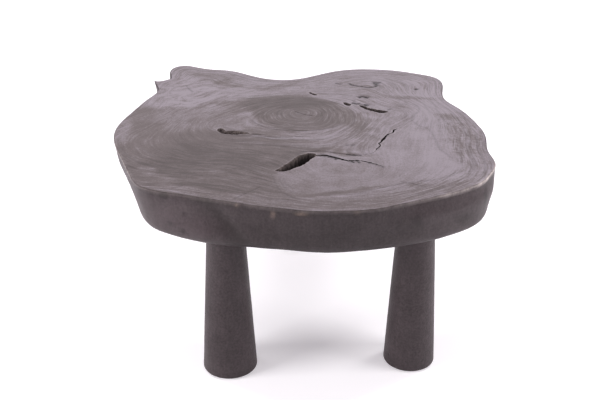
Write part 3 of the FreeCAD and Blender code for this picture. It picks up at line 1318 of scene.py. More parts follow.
# How pale the top face is, about 0 to 1: each patch lies over the ones before it. The high levels at the
# right and at the rear are partly a painted sheen
BASE_LEVEL = 0.82
LOBE_LEVEL = 0.83
TONE_AND_SHEEN_PATCHES = (
    # Broad tones: the dark left third, the pale right side, which is partly a painted sheen, and the fork
    Patch(-200, -170, 225, 165, 0.06),
    Patch(-110, -285, 120, 62, 0.36, -20),
    Patch(-345, -30, 80, 170, 0.42),
    Patch(-80, -100, 140, 46, 0.27, -8),
    Patch(95, -65, 90, 70, 0.74),
    Patch(-250, 50, 85, 75, 0.60),
    Patch(-215, 105, 60, 40, 0.66, 20, 0.5),
    Patch(-272, 232, 88, 104, 0.90, 14, 0.16),
    Patch(320, 40, 70, 150, 1.0),
    Patch(290, 230, 60, 70, 0.96),
    Patch(125, 275, 130, 60, 0.75),
    # The dark heart and what lies round it
    Patch(5, 80, 114, 108, 0.34, 0, 0.10),
    Patch(-25, 148, 95, 36, -0.09, -8, 0.40),
    Patch(-75, 150, 85, 40, 0.16, 25),
    Patch(92, 168, 60, 24, 0.92, -15, 0.5),
    Patch(-185, -72, 80, 28, 0.32, -6, 0.6),
    Patch(-148, 92, 58, 14, 0.40, 42, 0.5),
    Patch(-152, 18, 60, 48, 0.62, 10, 0.18),
    Patch(-45, -70, 92, 6, 0.72, -2, 0.4),
    Patch(-30, -106, 120, 6, 0.54, -4, 0.4),
    # Streaks along the rim and the right side
    Patch(245, -312, 50, 14, 0.50, -10, 0.7),
    Patch(-266, -280, 70, 15, 0.46, -40, 0.8),
    Patch(-312, -233, 24, 13, 0.52, 0, 0.8),
    Patch(124, 28, 28, 56, 0.40, 10),
    Patch(362, -70, 38, 130, 0.62),
    Patch(335, -265, 70, 62, 0.80),
    Patch(345, 58, 30, 14, 0.50, -20, 0.8),
    Patch(347, -42, 10, 52, 0.72, 25, 0.6),
    Patch(364, -205, 28, 34, 0.80, 0, 0.7),
    # The rear, and small patches elsewhere
    Patch(-165, 152, 34, 14, 0.50, 15, 0.7),
    Patch(-195, 285, 62, 16, 0.56, -24, 0.7),
    Patch(-75, 262, 55, 18, 0.66, 20, 0.7),
    Patch(-335, 147, 34, 40, 0.90, 0, 0.5),
    Patch(150, -57, 34, 18, 0.50, -20, 0.6),
    Patch(172, 32, 24, 22, 0.56, 20, 0.6),
    Patch(250, 185, 70, 14, 0.62, -8, 0.6),
    Patch(82, -146, 55, 9, 0.40, -8, 0.5),
    Patch(66, -128, 48, 9, 0.46, -6, 0.5),
    Patch(384, -120, 16, 30, 0.82, 0, 0.6),
    Patch(187, 285, 30, 12, 0.95, 0, 0.6),
    Patch(-392, -30, 16, 60, 0.72, 0, 0.6),
    Patch(-50, -168, 40, 18, 0.42, 35, 0.6),
    Patch(-285, 375, 60, 16, 0.72, -8),
    Patch(-215, 330, 60, 18, 0.56, -12),
)

# The smooth lobe at the front, and its own tones: its paleness is partly a painted waxy sheen
LOBE = (
    (-44, -238), (31, -155), (90, -158), (150, -152), (219, -16), (296, 0), (330, -150), (336, -215),
    (290, -265), (205, -296), (141, -328), (62, -354), (12, -362), (-28, -340), (-46, -290),
)
LOBE_SOFTNESS = 18 * MM
LOBE_PATCHES = (
    Patch(-5, -290, 60, 75, 0.53),
    Patch(95, -260, 110, 70, 0.69),
    Patch(38, -167, 8, 4, 1.0, -20, 0.6),
    Patch(100, -344, 100, 15, 0.14, 9, 0.6),
    Patch(298, -190, 36, 60, 1.05, 10, 0.6),
    Patch(285, -65, 30, 40, 1.0, 0, 0.6),
    Patch(120, -158, 40, 6, 0.55, -8, 0.5),
)

# Where the wood is twisted, where holes are open to the light or shallow, and where marks cross the rings
WISPY = (
    Patch(-250, 200, 100, 110, 1.0),
    Patch(-70, 250, 130, 40, 0.4),
)
WIDE_HOLES = (
    Patch(-8, -198, 70, 32, 1.0, 50),
    Patch(172, 102, 40, 16, 0.85, -30),
    Patch(-140, -36, 60, 40, 1.0),
    Patch(31, 206, 30, 25, 0.75),
    Patch(114, 138, 22, 22, 0.6),
)
SHALLOW_HOLES = (
    Patch(31, 206, 30, 25, 0.72),
    Patch(114, 138, 22, 22, 0.6),
)
HATCHED = (
    Patch(355, -70, 48, 130, 1.0),
    Patch(300, -290, 110, 60, 0.35),
    Patch(-330, -60, 80, 170, 0.3),
)

# The rim: how far it is worn back, in millimetres, and its tones
WORN_BACK = Patch(315, -330, 145, 62, 12, 34)
FRONT_RIM = Patch(-10, -330, 330, 110, 0.52)
FRONT_RIM_WIDTH = 58 * MM
RIM_SHADE = Patch(-170, -315, 88, 13, 0.02, -14, 0.6)

CREASES = (
    # Cracks at the front and the rear, and lines round the heart
    Crease(((-7, -140), (26, -140), (51, -139), (78, -149), (96, -154), (134, -159)), 2.2, 1.2, 0.8),
    Crease(((96, -155), (113, -158), (134, -160)), 4.6, 2.0, 1.0),
    Crease(((134, -159), (150, -152), (160, -143)), 1.4, 0.8, 0.6),
    Crease(((-180, -94), (-80, -106), (0, -126), (70, -143)), 4.0, 0.2, 0.22),
    Crease(((-115, 47), (-100, 22), (-77, -5), (-34, -23), (23, -26), (58, -17), (104, 18)),
           2.6, 0.3, 0.45),
    Crease(((-12, 94), (6, 75), (35, 60)), 2.0, 0.9, 0.7),
    Crease(((89, 285), (107, 277)), 4.0, 1.0, 0.9),
    Crease(((122, 287), (133, 271), (151, 262), (172, 254), (188, 257)), 4.0, 1.2, 1.0),
    Crease(((186, 255), (193, 270), (187, 290), (197, 287), (207, 293)), 6.0, 1.6, 1.0),
    Crease(((98, -108), (122, -106)), 4.0, 0.6, 0.6),
    Crease(((32, -159), (45, -157), (68, -168), (94, -187)), 3.6, 1.4, 0.75),
    Crease(((39, -160), (54, -162), (70, -171), (84, -181)), 8.5, 2.0, 1.0),
    Crease(((98, -191), (107, -193), (113, -190), (128, -193)), 3.4, 1.2, 0.7),
    Crease(((104, -184), (115, -200)), 4.4, 0.8, 1.0),
    Crease(((114, -185), (126, -201)), 4.4, 0.8, 1.0),
    Crease(((140, -198), (150, -202), (162, -210), (175, -223)), 4.6, 0.6, 0.8),
    Crease(((161, -143), (170, -123), (173, -102), (185, -74), (195, -53), (209, -31), (214, -20),
            (222, -16)), 2.2, 0.8, 0.6),
    # Small cracks, pits and scratches
    Crease(((-104, -44), (-96, -47), (-82, -50)), 3.6, 1.0, 0.6),
    Crease(((-168, -26), (-150, -24), (-136, -28), (-118, -33)), 2.6, 0.8, 0.5),
    Crease(((129, 142), (145, 138), (162, 131)), 2.0, 1.0, 0.8),
    Crease(((124, 148), (135, 142), (146, 142)), 5.0, 2.0, 1.0),
    Crease(((126, 148), (140, 138)), 7.5, 1.4, 1.0),
    Crease(((151, 136), (165, 128)), 8.0, 1.6, 1.0),
    Crease(((128, 150), (133, 166)), 3.4, 1.0, 0.35),
    Crease(((141, 180), (153, 190), (168, 180)), 7.0, 2.4, 1.0),
    Crease(((286, 246), (290, 236)), 6.5, 2.0, 1.0),
    Crease(((-98, -49), (-68, -61), (-43, -63), (12, -59)), 2.4, 0.5, 0.45),
    Crease(((-284, 272), (-274, 248), (-258, 216)), 3.6, 0.4, 0.34),
    Crease(((-253, -328), (-226, -305)), 1.6, 0.3, 0.25),
    Crease(((-127, -371), (-109, -350), (-72, -311)), 2.4, 0.4, 0.3),
    Crease(((203, 97), (217, 111)), 3.6, 0.6, 0.6),
    # Single rings that stand out, round the lobe and on the right
    Crease(((-53, -259), (-47, -294), (-37, -328), (-17, -355), (2, -371)), 2.6, 0.1, 0.26),
    Crease(((-41, -259), (-35, -294), (-25, -322), (-3, -344)), 2.2, 0.1, 0.24),
    Crease(((-31, -271), (-23, -305), (-3, -328)), 2.0, 0.1, 0.2),
    Crease(((105, -346), (141, -329), (210, -296), (295, -268), (325, -232)), 4.0, 0.1, 0.2),
    Crease(((199, -288), (223, -299), (251, -316)), 3.0, 0.3, 0.4),
    Crease(((211, 109), (253, 138), (273, 134), (278, 93), (266, 69), (257, 37), (268, 6), (286, -16),
            (296, -74), (300, -130), (316, -170), (324, -208)), 4.0, 0.1, 0.2),
    Crease(((227, 155), (262, 177), (290, 151), (300, 101), (308, 69)), 3.5, 0.1, 0.2),
    Crease(((235, 180), (285, 190), (318, 140), (322, 90), (330, 40), (335, -10)), 3.5, 0.1, 0.16),
)

# Where the rim is rubbed, and where a painted highlight lies along it. Smears and marks lie on the front
# flank: their Y is the depth below the top face
WORN_AND_HIGHLIT_EDGES = (
    Patch(20, -330, 480, 130, 0.16),
    Patch(-365, -160, 60, 170, 0.34),
    Patch(240, -350, 120, 60, 0.30),
    Patch(385, -265, 50, 80, 0.9),
    Patch(320, -340, 70, 45, 0.6),
)
SMEARS = (
    Patch(-49, 14, 4, 6, 0.45),
    Patch(4, 6, 11, 3, 0.52),
    Patch(-118, 4, 3, 3, 0.38),
    Patch(108, 4, 6, 3, 0.25),
)
# The first two paint shade on the front's middle and light on its left end; the rest are dark marks
FLANK_MARKS_AND_SHADING = (
    Patch(40, 60, 170, 70, 0.22),
    Patch(-222, 50, 70, 50, -0.20),
    Patch(-262, 5, 6, 6, 1.3),
    Patch(-223, 40, 5, 4, 0.5),
    Patch(-225, 74, 6, 5, 0.6),
    Patch(-252, 63, 7, 4, 0.4),
    Patch(227, 40, 9, 16, 0.3),
    Patch(324, 60, 16, 10, 0.25),
    Patch(371, 30, 5, 22, 0.4),
)

# Where the grain shows less, or more, and where holes are narrower than in the CAD
CALM = (
    Patch(-350, -20, 60, 150, 0.5),
    Patch(-250, -30, 110, 120, 0.5),
    Patch(-150, 22, 56, 38, 0.5),
    Patch(140, -110, 70, 36, 0.3),
    Patch(255, 80, 80, 110, 0.25),
)
HEART_DISC = Patch(5, 80, 112, 106, 0.12, 0, 0.12)
LOBE_LIVELINESS = 0.3
# Wear on the lips of the holes, and a painted highlight along them
MOUTH_WEAR_AND_HIGHLIGHT = 0.32
PINCHED = (
    Patch(192, -75, 42, 70, 0.3),
    Patch(31, 205, 30, 25, 0.35),
)


def covered(patches: Sequence[Patch], plan: Array) -> Array:
    """How much of any of some patches there is at each point of the plan, by their levels."""
    return np.max([patch.level * patch_mask(patch, plan) for patch in patches], axis=0)


def patch_mask(patch: Patch, plan: Array) -> Array:
    """How much of a patch there is at each point.

    Args:
        patch: The patch.
        plan: Points on the plan.

    Returns:
        1 in the patch's middle, 0 outside it, with a soft rim.
    """
    turn = math.radians(patch.turn_degrees)
    x = plan[:, 0] - patch.x * MM
    y = plan[:, 1] - patch.y * MM
    across = (x * math.cos(turn) + y * math.sin(turn)) / (patch.half_width * MM)
    deep = (y * math.cos(turn) - x * math.sin(turn)) / (patch.half_depth * MM)
    return 1.0 - ease(np.hypot(across, deep), 1.0 - patch.softness, 1.0 + patch.softness)


def spot_mask(patch: Patch, x: Array, y: Array) -> Array:
    """How much of a patch there is at each place, if it fades out evenly from its middle.

    Args:
        patch: The patch.
        x, y: The places.

    Returns:
        1 in the patch's middle, and less the further away.
    """
    across = (x / MM - patch.x) / patch.half_width
    deep = (y / MM - patch.y) / patch.half_depth
    return np.exp(-across ** 2 - deep ** 2)


def layered(base: float, patches: Sequence[Patch], plan: Array) -> Array:
    """Patches laid one over the other.

    Args:
        base: The level under all of them.
        patches: The patches, the lowest first.
        plan: Points on the plan.

    Returns:
        The level at each point.
    """
    level = np.full(len(plan), base)
    for patch in patches:
        level += (patch.level - level) * patch_mask(patch, plan)
    return level


@dataclass
class Slab:
    """The table top: a slab sawn across a forked trunk, with its live edge, natural holes and cracks."""

    node: str = "slab_top"
    # Sizes of the mesh
    edge_step: float = 4.0 * MM
    mouth_step: float = 1.5 * MM
    top_step: float = 4.5 * MM
    middle_step: float = 2.6 * MM
    fine_step: float = 1.5 * MM
    under_step: float = 9.0 * MM
    fine_reach: float = 5.0 * MM
    middle_reach: float = 12.0 * MM
    edge_corner_degrees: float = 40.0
    mouth_corner_degrees: float = 60.0
    sharp_degrees: float = 50.0
    # The live edge
    edge_round: float = 3.0 * MM
    lower_round: float = 24.0 * MM
    lower_angles: tuple[float, ...] = (12, 24, 36, 48, 60, 70, 79, 86)
    flank_rows: int = 15
    flank_swell: float = 0.9 * MM
    swell_size: tuple[float, float, float] = (0.055, 0.055, 0.08)
    swell_depth: float = 15.0 * MM
    front: tuple[float, float] = (0.2, 0.3)
    fold_depth: float = 3.0 * MM
    fold_fade: tuple[float, float] = (2.0 * MM, 20.0 * MM)
    fold_top_x: float = -178.0 * MM
    fold_slope: float = 83 / 95
    fold_soft: float = 36.0 * MM
    fold_crisp: float = 18.0 * MM
    fold_shade: float = 0.26
    under_rim_shade: float = 0.10
    worn_depth: float = 40.0 * MM
    # How far from the rim and how far below the top the rubbed stain and the painted rim highlight reach
    rubbed_and_highlit_reach: tuple[float, float] = (5.0 * MM, 1.0 * MM)
    rubbed_and_highlit_depth: tuple[float, float] = (5.0 * MM, 1.5 * MM)
    corner_reach: float = 4.0 * MM
    corner_drift: float = 14.0 * MM
    last_inset: float = 1.6 * MM
    # Holes and cracks
    rim_round: float = 1.2 * MM
    crack_sway: float = 2.0 * MM
    sway_size: float = 7.0 * MM
    jag: float = 0.9 * MM
    jag_size: float = 5.0 * MM
    wall_rows: int = 11
    wall_bend: float = 1.3
    wall_lean: float = 0.42
    wall_tear: float = 0.16
    tear_size: tuple[float, float, float] = (5.0 * MM, 5.0 * MM, 22.0 * MM)
    most_lean: float = 0.62
    # Relief, rings and tones
    top_relief: float = 0.35 * MM
    under_relief: float = 0.6 * MM
    ring_merge: float = 26.0 * MM
    ring_drift: float = 12.0 * MM
    tone_drift: float = 16.0 * MM
    lobe_drift: float = 8.0 * MM
    seed: int = 20

    def __post_init__(self) -> None:
        """Measure the CAD slab."""
        low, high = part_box(self.node)
        self.top = high.z
        self.bottom = low.z
        self.cad = CadShape(self.node)
        self.rng = np.random.default_rng(self.seed)
        outline, *mouths = self.cad.loops(self.cad.faces_at(self.top))
        edge = even_loop(outline[:, :2], self.edge_step, self.edge_corner_degrees)
        self.edge = np.roll(edge, -int(np.argmax(left_turns(edge, self.corner_reach))), axis=0)
        self.worn_back = WORN_BACK.level * MM * patch_mask(WORN_BACK, self.edge)
        corner = self.mouth_corner_degrees
        self.mouths = [even_loop(mouth[:, :2], self.mouth_step, corner) for mouth in mouths]

    def build(self) -> bpy.types.Object:
        """Put the slab together.

        Returns:
            The slab, with the values that its finishes read.
        """
        shell = Shell()
        flank = self.flank()
        shell.add_band(flank, Side.FLANK)
        hollows = [self.hollow(mouth) for mouth in self.mouths]
        for rows in hollows:
            shell.add_band(rows, Side.HOLLOW)
            floor = rows[-1]
            shell.add(floor, tessellate_polygon([[Vector(point) for point in floor]]), Side.HOLLOW)
        self.add_top(shell, flank[0], [rows[0] for rows in hollows])
        self.add_underside(shell, flank[-1])
        piece = shell.to_object("slab", self.sharp_degrees)
        self.write_fields(piece.data)
        return piece

    def flank(self) -> list[Array]:
        """The live edge.

        Returns:
            Loops from the rim of the top face down to the underside.
        """
        out = right_hand(self.edge)
        straight = self.top - self.bottom - self.lower_round
        shares = np.linspace(0.0, 1.0, self.flank_rows + 1)[1:]
        rounding = straight + self.lower_round * np.sin(np.radians(self.lower_angles))
        drops = np.array([0.0, *straight * shares, *rounding])
        sections = self.sections(drops)
        wear = self.edge_round * (1.0 + 0.5 * roughness_field(self.edge, (0.05, 0.05), 2, 3.0))
        wear = np.minimum(wear, 0.4 * self.half_widths(self.edge, -out))
        upright = np.zeros(len(wear))
        steps = [(wear * (1 - math.cos(angle)), wear * (1 - math.sin(angle))) for angle in ROUND_ANGLES]
        steps += [(wear + (straight - wear) * share, upright) for share in shares]
        steps += [(np.full(len(wear), drop), upright) for drop in rounding]
        points = np.arange(len(wear))
        rows = []
        for drop, inset in steps:
            upper = np.clip(np.searchsorted(drops, drop, side="right") - 1, 0, len(drops) - 2)
            share = ((drop - drops[upper]) / (drops[upper + 1] - drops[upper]))[:, None]
            place = sections[upper, points] * (1 - share) + sections[upper + 1, points] * share
            inset = inset + self.worn_back * ease(drop, self.worn_depth, 0.0)
            row = np.column_stack([place - out * inset[:, None], self.top - drop])
            swell = self.flank_swell * ease(drop, 0.0, self.swell_depth)
            swell *= roughness_field(row, self.swell_size, 3, 8.0) - 0.4
            swell -= self.fold_depth * self.fold(row) * ease(drop, *self.fold_fade)
            row[:, :2] += out * swell[:, None]
            rows.append(row)
        last = rows[-1].copy()
        out = right_hand(last[:, :2])
        room = self.half_widths(last[:, :2], -out)
        last[:, :2] -= out * np.minimum(self.last_inset, 0.3 * room)[:, None]
        last[:, 2] = self.bottom
        return [*rows, last]

    def sections(self, drops: Array) -> Array:
        """The live edge at several depths.

        Args:
            drops: The depths below the top face.

        Returns:
            A loop for each depth, from the spike's tip round to the notch and back, point below point.
        """
        corners = [0, int(np.argmin(left_turns(self.edge, self.corner_reach)))]
        counts = (corners[1], len(self.edge) - corners[1])
        marks = self.edge[corners]
        found = []
        for drop in drops:
            loop = self.cad.section(self.top - max(drop, 0.01 * MM))
            turns = left_turns(loop, self.corner_reach)
            for i, way in enumerate((1.0, -1.0)):
                away = np.linalg.norm(loop - marks[i], axis=1)
                corners[i] = int(np.argmax(np.where(away < self.corner_drift, way * turns, -np.inf)))
            marks = loop[corners]
            loop = np.roll(loop, -corners[0], axis=0)
            notch = (corners[1] - corners[0]) % len(loop)
            runs = (loop[:notch + 1], np.vstack([loop[notch:], loop[:1]]))
            found.append(np.vstack([evened_run(run, count, MM) for run, count in zip(runs, counts)]))
        return np.array(found)

    def fold(self, points: Array) -> Array:
        """The slanting fold in the front flank, soft on its left and crisp on its right: a groove, and a
        band of painted shade.

        Args:
            points: The points.

        Returns:
            How much of the fold there is at each point, 0 to 1.
        """
        gap = points[:, 0] - self.fold_top_x - self.fold_slope * (self.top - points[:, 2])
        width = np.where(gap < 0.0, self.fold_soft, self.fold_crisp)
        return np.exp(-(gap / width) ** 2) * self.on_front(points)

    def on_front(self, points: Array) -> Array:
        """How much each point belongs to the slab's front, 0 to 1."""
        return ease(-points[:, 1], *self.front)

    def hollow(self, mouth: Array) -> list[Array]:
        """The wall of one natural hole or crack.

        Args:
            mouth: The loop round its mouth, with the hole on its right.

        Returns:
            Loops from the top face down to the hole's floor.
        """
        mouth = mouth + self.crack_sway * drift_field(mouth, self.sway_size, 2, 71.0)
        jag = roughness_field(mouth, (self.jag_size, self.jag_size), 2, 5.0)
        into = loop_average(right_hand(mouth, 2), 2)
        into /= np.linalg.norm(into, axis=1)[:, None]
        half = self.half_widths(mouth, into)
        pinch = half * covered(PINCHED, mouth)
        half = half - pinch
        mouth = mouth + into * (pinch + jag * np.minimum(self.jag, 0.4 * half))[:, None]
        middles = mouth + into * half[:, None]
        depth = np.array([self.depth_at(point) for point in middles])
        depth *= 1.0 - covered(SHALLOW_HOLES, mouth)
        depth = loop_average(np.minimum(depth, 8 * half + 2 * MM), 4)
        rim = np.minimum(self.rim_round, 0.4 * half)
        rows = []
        for angle in ROUND_ANGLES:
            away = rim * (1 - math.sin(angle))
            drop = rim * (1 - math.cos(angle))
            rows.append(np.column_stack([mouth - into * away[:, None], self.top - drop]))
        for share in np.linspace(0.0, 1.0, self.wall_rows + 1)[1:] ** self.wall_bend:
            level = self.top - rim - (depth - rim) * share
            place = np.column_stack([mouth, level])
            torn = self.wall_tear * roughness_field(place, self.tear_size, 3, 12.0)
            lean = half * np.clip(self.wall_lean * share + torn * min(1.0, 4 * share), 0.0, self.most_lean)
            rows.append(np.column_stack([mouth + into * lean[:, None], level]))
        return rows

    def half_widths(self, mouth: Array, into: Array) -> Array:
        """Half of a hole's width, measured across it from each point of its mouth.

        Args:
            mouth: The loop round the mouth.
            into: The directions into the hole.

        Returns:
            A length for each point.
        """
        parallel, touching, least_width = 1e-12, 1e-5, 0.2 * MM
        spans = np.roll(mouth, -1, axis=0) - mouth
        widths = np.empty(len(mouth))
        for i, (point, way) in enumerate(zip(mouth, into)):
            gap = mouth - point
            across = way[0] * spans[:, 1] - way[1] * spans[:, 0]
            across[np.abs(across) < parallel] = parallel
            along_ray = (gap[:, 0] * spans[:, 1] - gap[:, 1] * spans[:, 0]) / across
            along_span = (gap[:, 0] * way[1] - gap[:, 1] * way[0]) / across
            met = (along_ray > touching) & (along_span >= 0.0) & (along_span <= 1.0)
            widths[i] = along_ray[met].min() if met.any() else least_width
        least = np.min([np.roll(widths, i) for i in range(-2, 3)], axis=0)
        return 0.5 * loop_average(least, 3)

    def depth_at(self, point: Array) -> float:
        """How deep the CAD slab's top face is cut at a point on the plan."""
        place = self.cad.hit((*point, self.top + 0.01), (0.0, 0.0, -1.0), 1.0)
        return 0.0 if place is None else self.top - place[2]

    def crease_line(self, crease: Crease) -> Array:
        """Points along a crease, a short step apart."""
        line = np.array(crease.line, float) * MM
        return np.vstack([smooth_run(line, self.middle_step), line[-1:]])

    def add_top(self, shell: Shell, rim: Array, mouths: Sequence[Array]) -> None:
        """Add the top face, with finer triangles round its holes and creases.

        Args:
            shell: The slab so far.
            rim: The loop round the face.
            mouths: The loops round its holes.
        """
        rim = rim[:, :2]
        mouths = [mouth[:, :2] for mouth in mouths]
        details = np.vstack([*mouths, *(self.crease_line(crease) for crease in CREASES)])
        bands = (
            (self.fine_step, -math.inf, self.fine_reach),
            (self.middle_step, self.fine_reach, self.middle_reach),
            (self.top_step, self.middle_reach, math.inf),
        )
        loose = []
        for step, closest, farthest in bands:
            grid = staggered_grid(rim.min(axis=0), rim.max(axis=0), step, self.rng)
            away = nearest(grid, details)
            grid = grid[(away > closest) & (away <= farthest)]
            grid = grid[nearest(grid, rim) > 0.55 * max(step, self.edge_step)]
            grid = grid[nearest(grid, np.vstack(mouths)) > 0.7 * self.fine_step]
            loose.append(grid[inside(grid, rim)])
        loose = np.vstack(loose)
        for mouth in mouths:
            loose = loose[~inside(loose, mouth)]
        plan, faces = filled(rim, mouths, loose)
        points = np.column_stack([plan, np.full(len(plan), self.top)])
        away = np.minimum(nearest(plan, rim), nearest(plan, np.vstack(mouths)))
        settled = ease(away, 0.2 * MM, 6 * MM)
        relief = self.top_relief * (roughness_field(plan, (0.07, 0.07), 3, 21.0) - 0.6)
        points[:, 2] += settled * (relief - self.crease_field(plan)[1])
        shell.add(points, faces, Side.TOP)

    def add_underside(self, shell: Shell, rim: Array) -> None:
        """Add the underside, with the recesses that the leg plates sit in.

        Args:
            shell: The slab so far.
            rim: The loop round the face.
        """
        underside = set(self.cad.faces_at(self.bottom))
        recesses = []
        for leg in LegPlace:
            low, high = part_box(f"leg_plate_{leg.value}")
            middle = np.array((low + high) / 2)
            reach = (high.x - low.x) / 2 + 2 * MM
            near = np.linalg.norm(self.cad.points[:, :2] - middle[:2], axis=1) < reach
            near &= self.cad.points[:, 2] < high.z + 30 * MM
            faces = [face for face in self.cad.faces if near[list(face)].all() and face not in underside]
            shell.add(self.cad.points, faces, Side.FLANK)
            recesses.append(self.cad.loops(faces)[0][:, :2])
        rim = rim[:, :2]
        grid = staggered_grid(rim.min(axis=0), rim.max(axis=0), self.under_step, self.rng)
        grid = grid[inside(grid, rim) & (nearest(grid, rim) > 0.6 * self.under_step)]
        for recess in recesses:
            grid = grid[~inside(grid, recess) & (nearest(grid, recess) > 0.4 * self.under_step)]
        plan, faces = filled(rim, recesses, grid)
        points = np.column_stack([plan, np.full(len(plan), self.bottom)])
        away = np.minimum(nearest(plan, rim), nearest(plan, np.vstack(recesses)))
        relief = self.under_relief * (roughness_field(plan, (0.05, 0.05), 3, 31.0) + 0.8)
        points[:, 2] += ease(away, 8 * MM, 30 * MM) * relief
        shell.add(points, faces[:, ::-1], Side.FLANK)

    def crease_field(self, plan: Array) -> tuple[Array, Array]:
        """The creases in the top face.

        Args:
            plan: Points on the plan.

        Returns:
            How dark and how deep the creases are at each point.
        """
        shade = np.zeros(len(plan))
        depth = np.zeros(len(plan))
        waver = roughness_field(plan, (9 * MM, 9 * MM), 2, 41.0)
        ragged = np.clip(1.0 + 0.6 * roughness_field(plan, (4 * MM, 4 * MM), 2, 43.0), 0.4, 1.2)
        for crease in CREASES:
            line = self.crease_line(crease)
            margin = 4 * crease.width * MM
            near = np.all((plan > line.min(axis=0) - margin) & (plan < line.max(axis=0) + margin), axis=1)
            away, share = line_distance(plan[near], line)
            width = crease.width * MM * (0.75 + 0.5 * waver[near])
            mark = np.exp(-(away / np.maximum(width, 0.5 * MM)) ** 2)
            mark *= ease(np.minimum(share, 1.0 - share), -0.02, 0.12)
            shade[near] = np.maximum(shade[near], crease.shade * mark * ragged[near])
            depth[near] = np.maximum(depth[near], crease.depth * MM * mark)
        return shade, depth

    def edge_distance(self, plan: Array) -> Array:
        """A smoothed distance to the live edge. On the hewn side, the trunk reached out past the slab.

        Args:
            plan: Points on the plan.

        Returns:
            About the distance to the nearest edge, and less where several edges are near.
        """
        power = 6
        total = np.zeros(len(plan))
        grown = self.edge.copy()
        grown[:, 0] -= HEWN_SIDE.level * MM * patch_mask(HEWN_SIDE, self.edge)
        for x, y in grown:
            gap = np.hypot(plan[:, 0] - x, plan[:, 1] - y)
            total += np.maximum(gap, 0.5 * MM) ** -power
        # Along a straight edge, the sum comes to 3 pi / 8 of the distance to the power of -5, over the step
        return (total * self.edge_step * 8 / (3 * math.pi)) ** (-1 / (power - 1))

    def ring_field(self, plan: Array) -> Array:
        """The growth rings.

        Args:
            plan: Points on the plan.

        Returns:
            How far out each point grew, from 0 at the heart to the trunk's radius at the live edge.
        """
        merge = self.ring_merge
        bent = plan + self.ring_drift * drift_field(plan, 0.11, 2, 91.0)
        total = np.zeros(len(plan))
        for eye in EYES:
            away = np.hypot(bent[:, 0] - eye.x * MM, bent[:, 1] - eye.y * MM)
            total += np.exp(-(np.maximum(away - eye.reach * MM, 0.0) + eye.start * MM) / merge)
        from_heart = np.maximum(-merge * np.log(total), 0.0)
        rings = TRUNK_RADIUS * from_heart / (from_heart + self.edge_distance(plan))
        for swirl in SWIRLS:
            rings += swirl.level * MM * spot_mask(swirl, *bent.T)
        return rings

    def tone_and_sheen_field(self, plan: Array) -> tuple[Array, Array]:
        """The tones of the top face, with a painted sheen toward the right, the rear and on the lobe.

        Args:
            plan: Points on the plan.

        Returns:
            How pale, painted sheen included, and how lively the grain is at each point.
        """
        drift = drift_field(plan, 0.08, 3, 51.0)
        shifted = plan + self.tone_drift * drift
        tone_and_painted_light = layered(BASE_LEVEL, TONE_AND_SHEEN_PATCHES, shifted)
        rim = ease(-nearest(shifted, self.edge), -1.3 * FRONT_RIM_WIDTH, -0.7 * FRONT_RIM_WIDTH)
        tone_and_painted_light += (FRONT_RIM.level - tone_and_painted_light) * rim * patch_mask(FRONT_RIM, shifted)
        tone_and_painted_light += (RIM_SHADE.level - tone_and_painted_light) * patch_mask(RIM_SHADE, shifted)
        lobe = np.array(LOBE, float) * MM
        nudged = plan + self.lobe_drift * drift
        away, _ = line_distance(nudged, np.vstack([lobe, lobe[:1]]))
        away = np.where(inside(nudged, lobe), away, -away)
        # The lobe's paleness is partly a painted sheen
        lobe_share = ease(away, -0.4 * LOBE_SOFTNESS, 0.6 * LOBE_SOFTNESS)
        lobe_tone = layered(LOBE_LEVEL, LOBE_PATCHES, shifted)
        lively = 1.0 - covered(CALM, shifted) + HEART_DISC.level * patch_mask(HEART_DISC, shifted)
        return tone_and_painted_light + (lobe_tone - tone_and_painted_light) * lobe_share, lively + (LOBE_LIVELINESS - lively) * lobe_share

    def wear_and_highlight_field(self, points: Array) -> Array:
        """Wear along the rim, and on the lips of the holes, with a painted highlight along both.

        Args:
            points: The points.

        Returns:
            How much rubbed stain and painted highlight each point has.
        """
        plan = points[:, :2]
        shallow = ease(self.top - points[:, 2], *self.rubbed_and_highlit_depth)
        rim = self.edge - right_hand(self.edge) * self.worn_back[:, None]
        line = ease(nearest(plan, rim), *self.rubbed_and_highlit_reach)
        lips = ease(nearest(plan, np.vstack(self.mouths)), *self.rubbed_and_highlit_reach)
        return shallow * (line * covered(WORN_AND_HIGHLIT_EDGES, plan) + MOUTH_WEAR_AND_HIGHLIGHT * lips)

    def front_marks(self, points: Array, marks: Sequence[Patch]) -> Array:
        """How much of some marks and painted shading on the front of the flank there is at each point.

        Args:
            points: The points.
            marks: The marks. Their Y is how far below the top face they lie.

        Returns:
            The marks' levels where they lie, and 0 elsewhere.
        """
        x, _, z = points.T
        total = sum(mark.level * spot_mask(mark, x, self.top - z) for mark in marks)
        return total * self.on_front(points)

    def write_fields(self, mesh: bpy.types.Mesh) -> None:
        """Write what the slab's finishes read onto its mesh.

        Args:
            mesh: The slab's mesh.
        """
        points = np.array([vertex.co for vertex in mesh.vertices])
        plan = points[:, :2]
        tone_and_painted_light, lively = self.tone_and_sheen_field(plan)
        drop = self.top - points[:, 2]
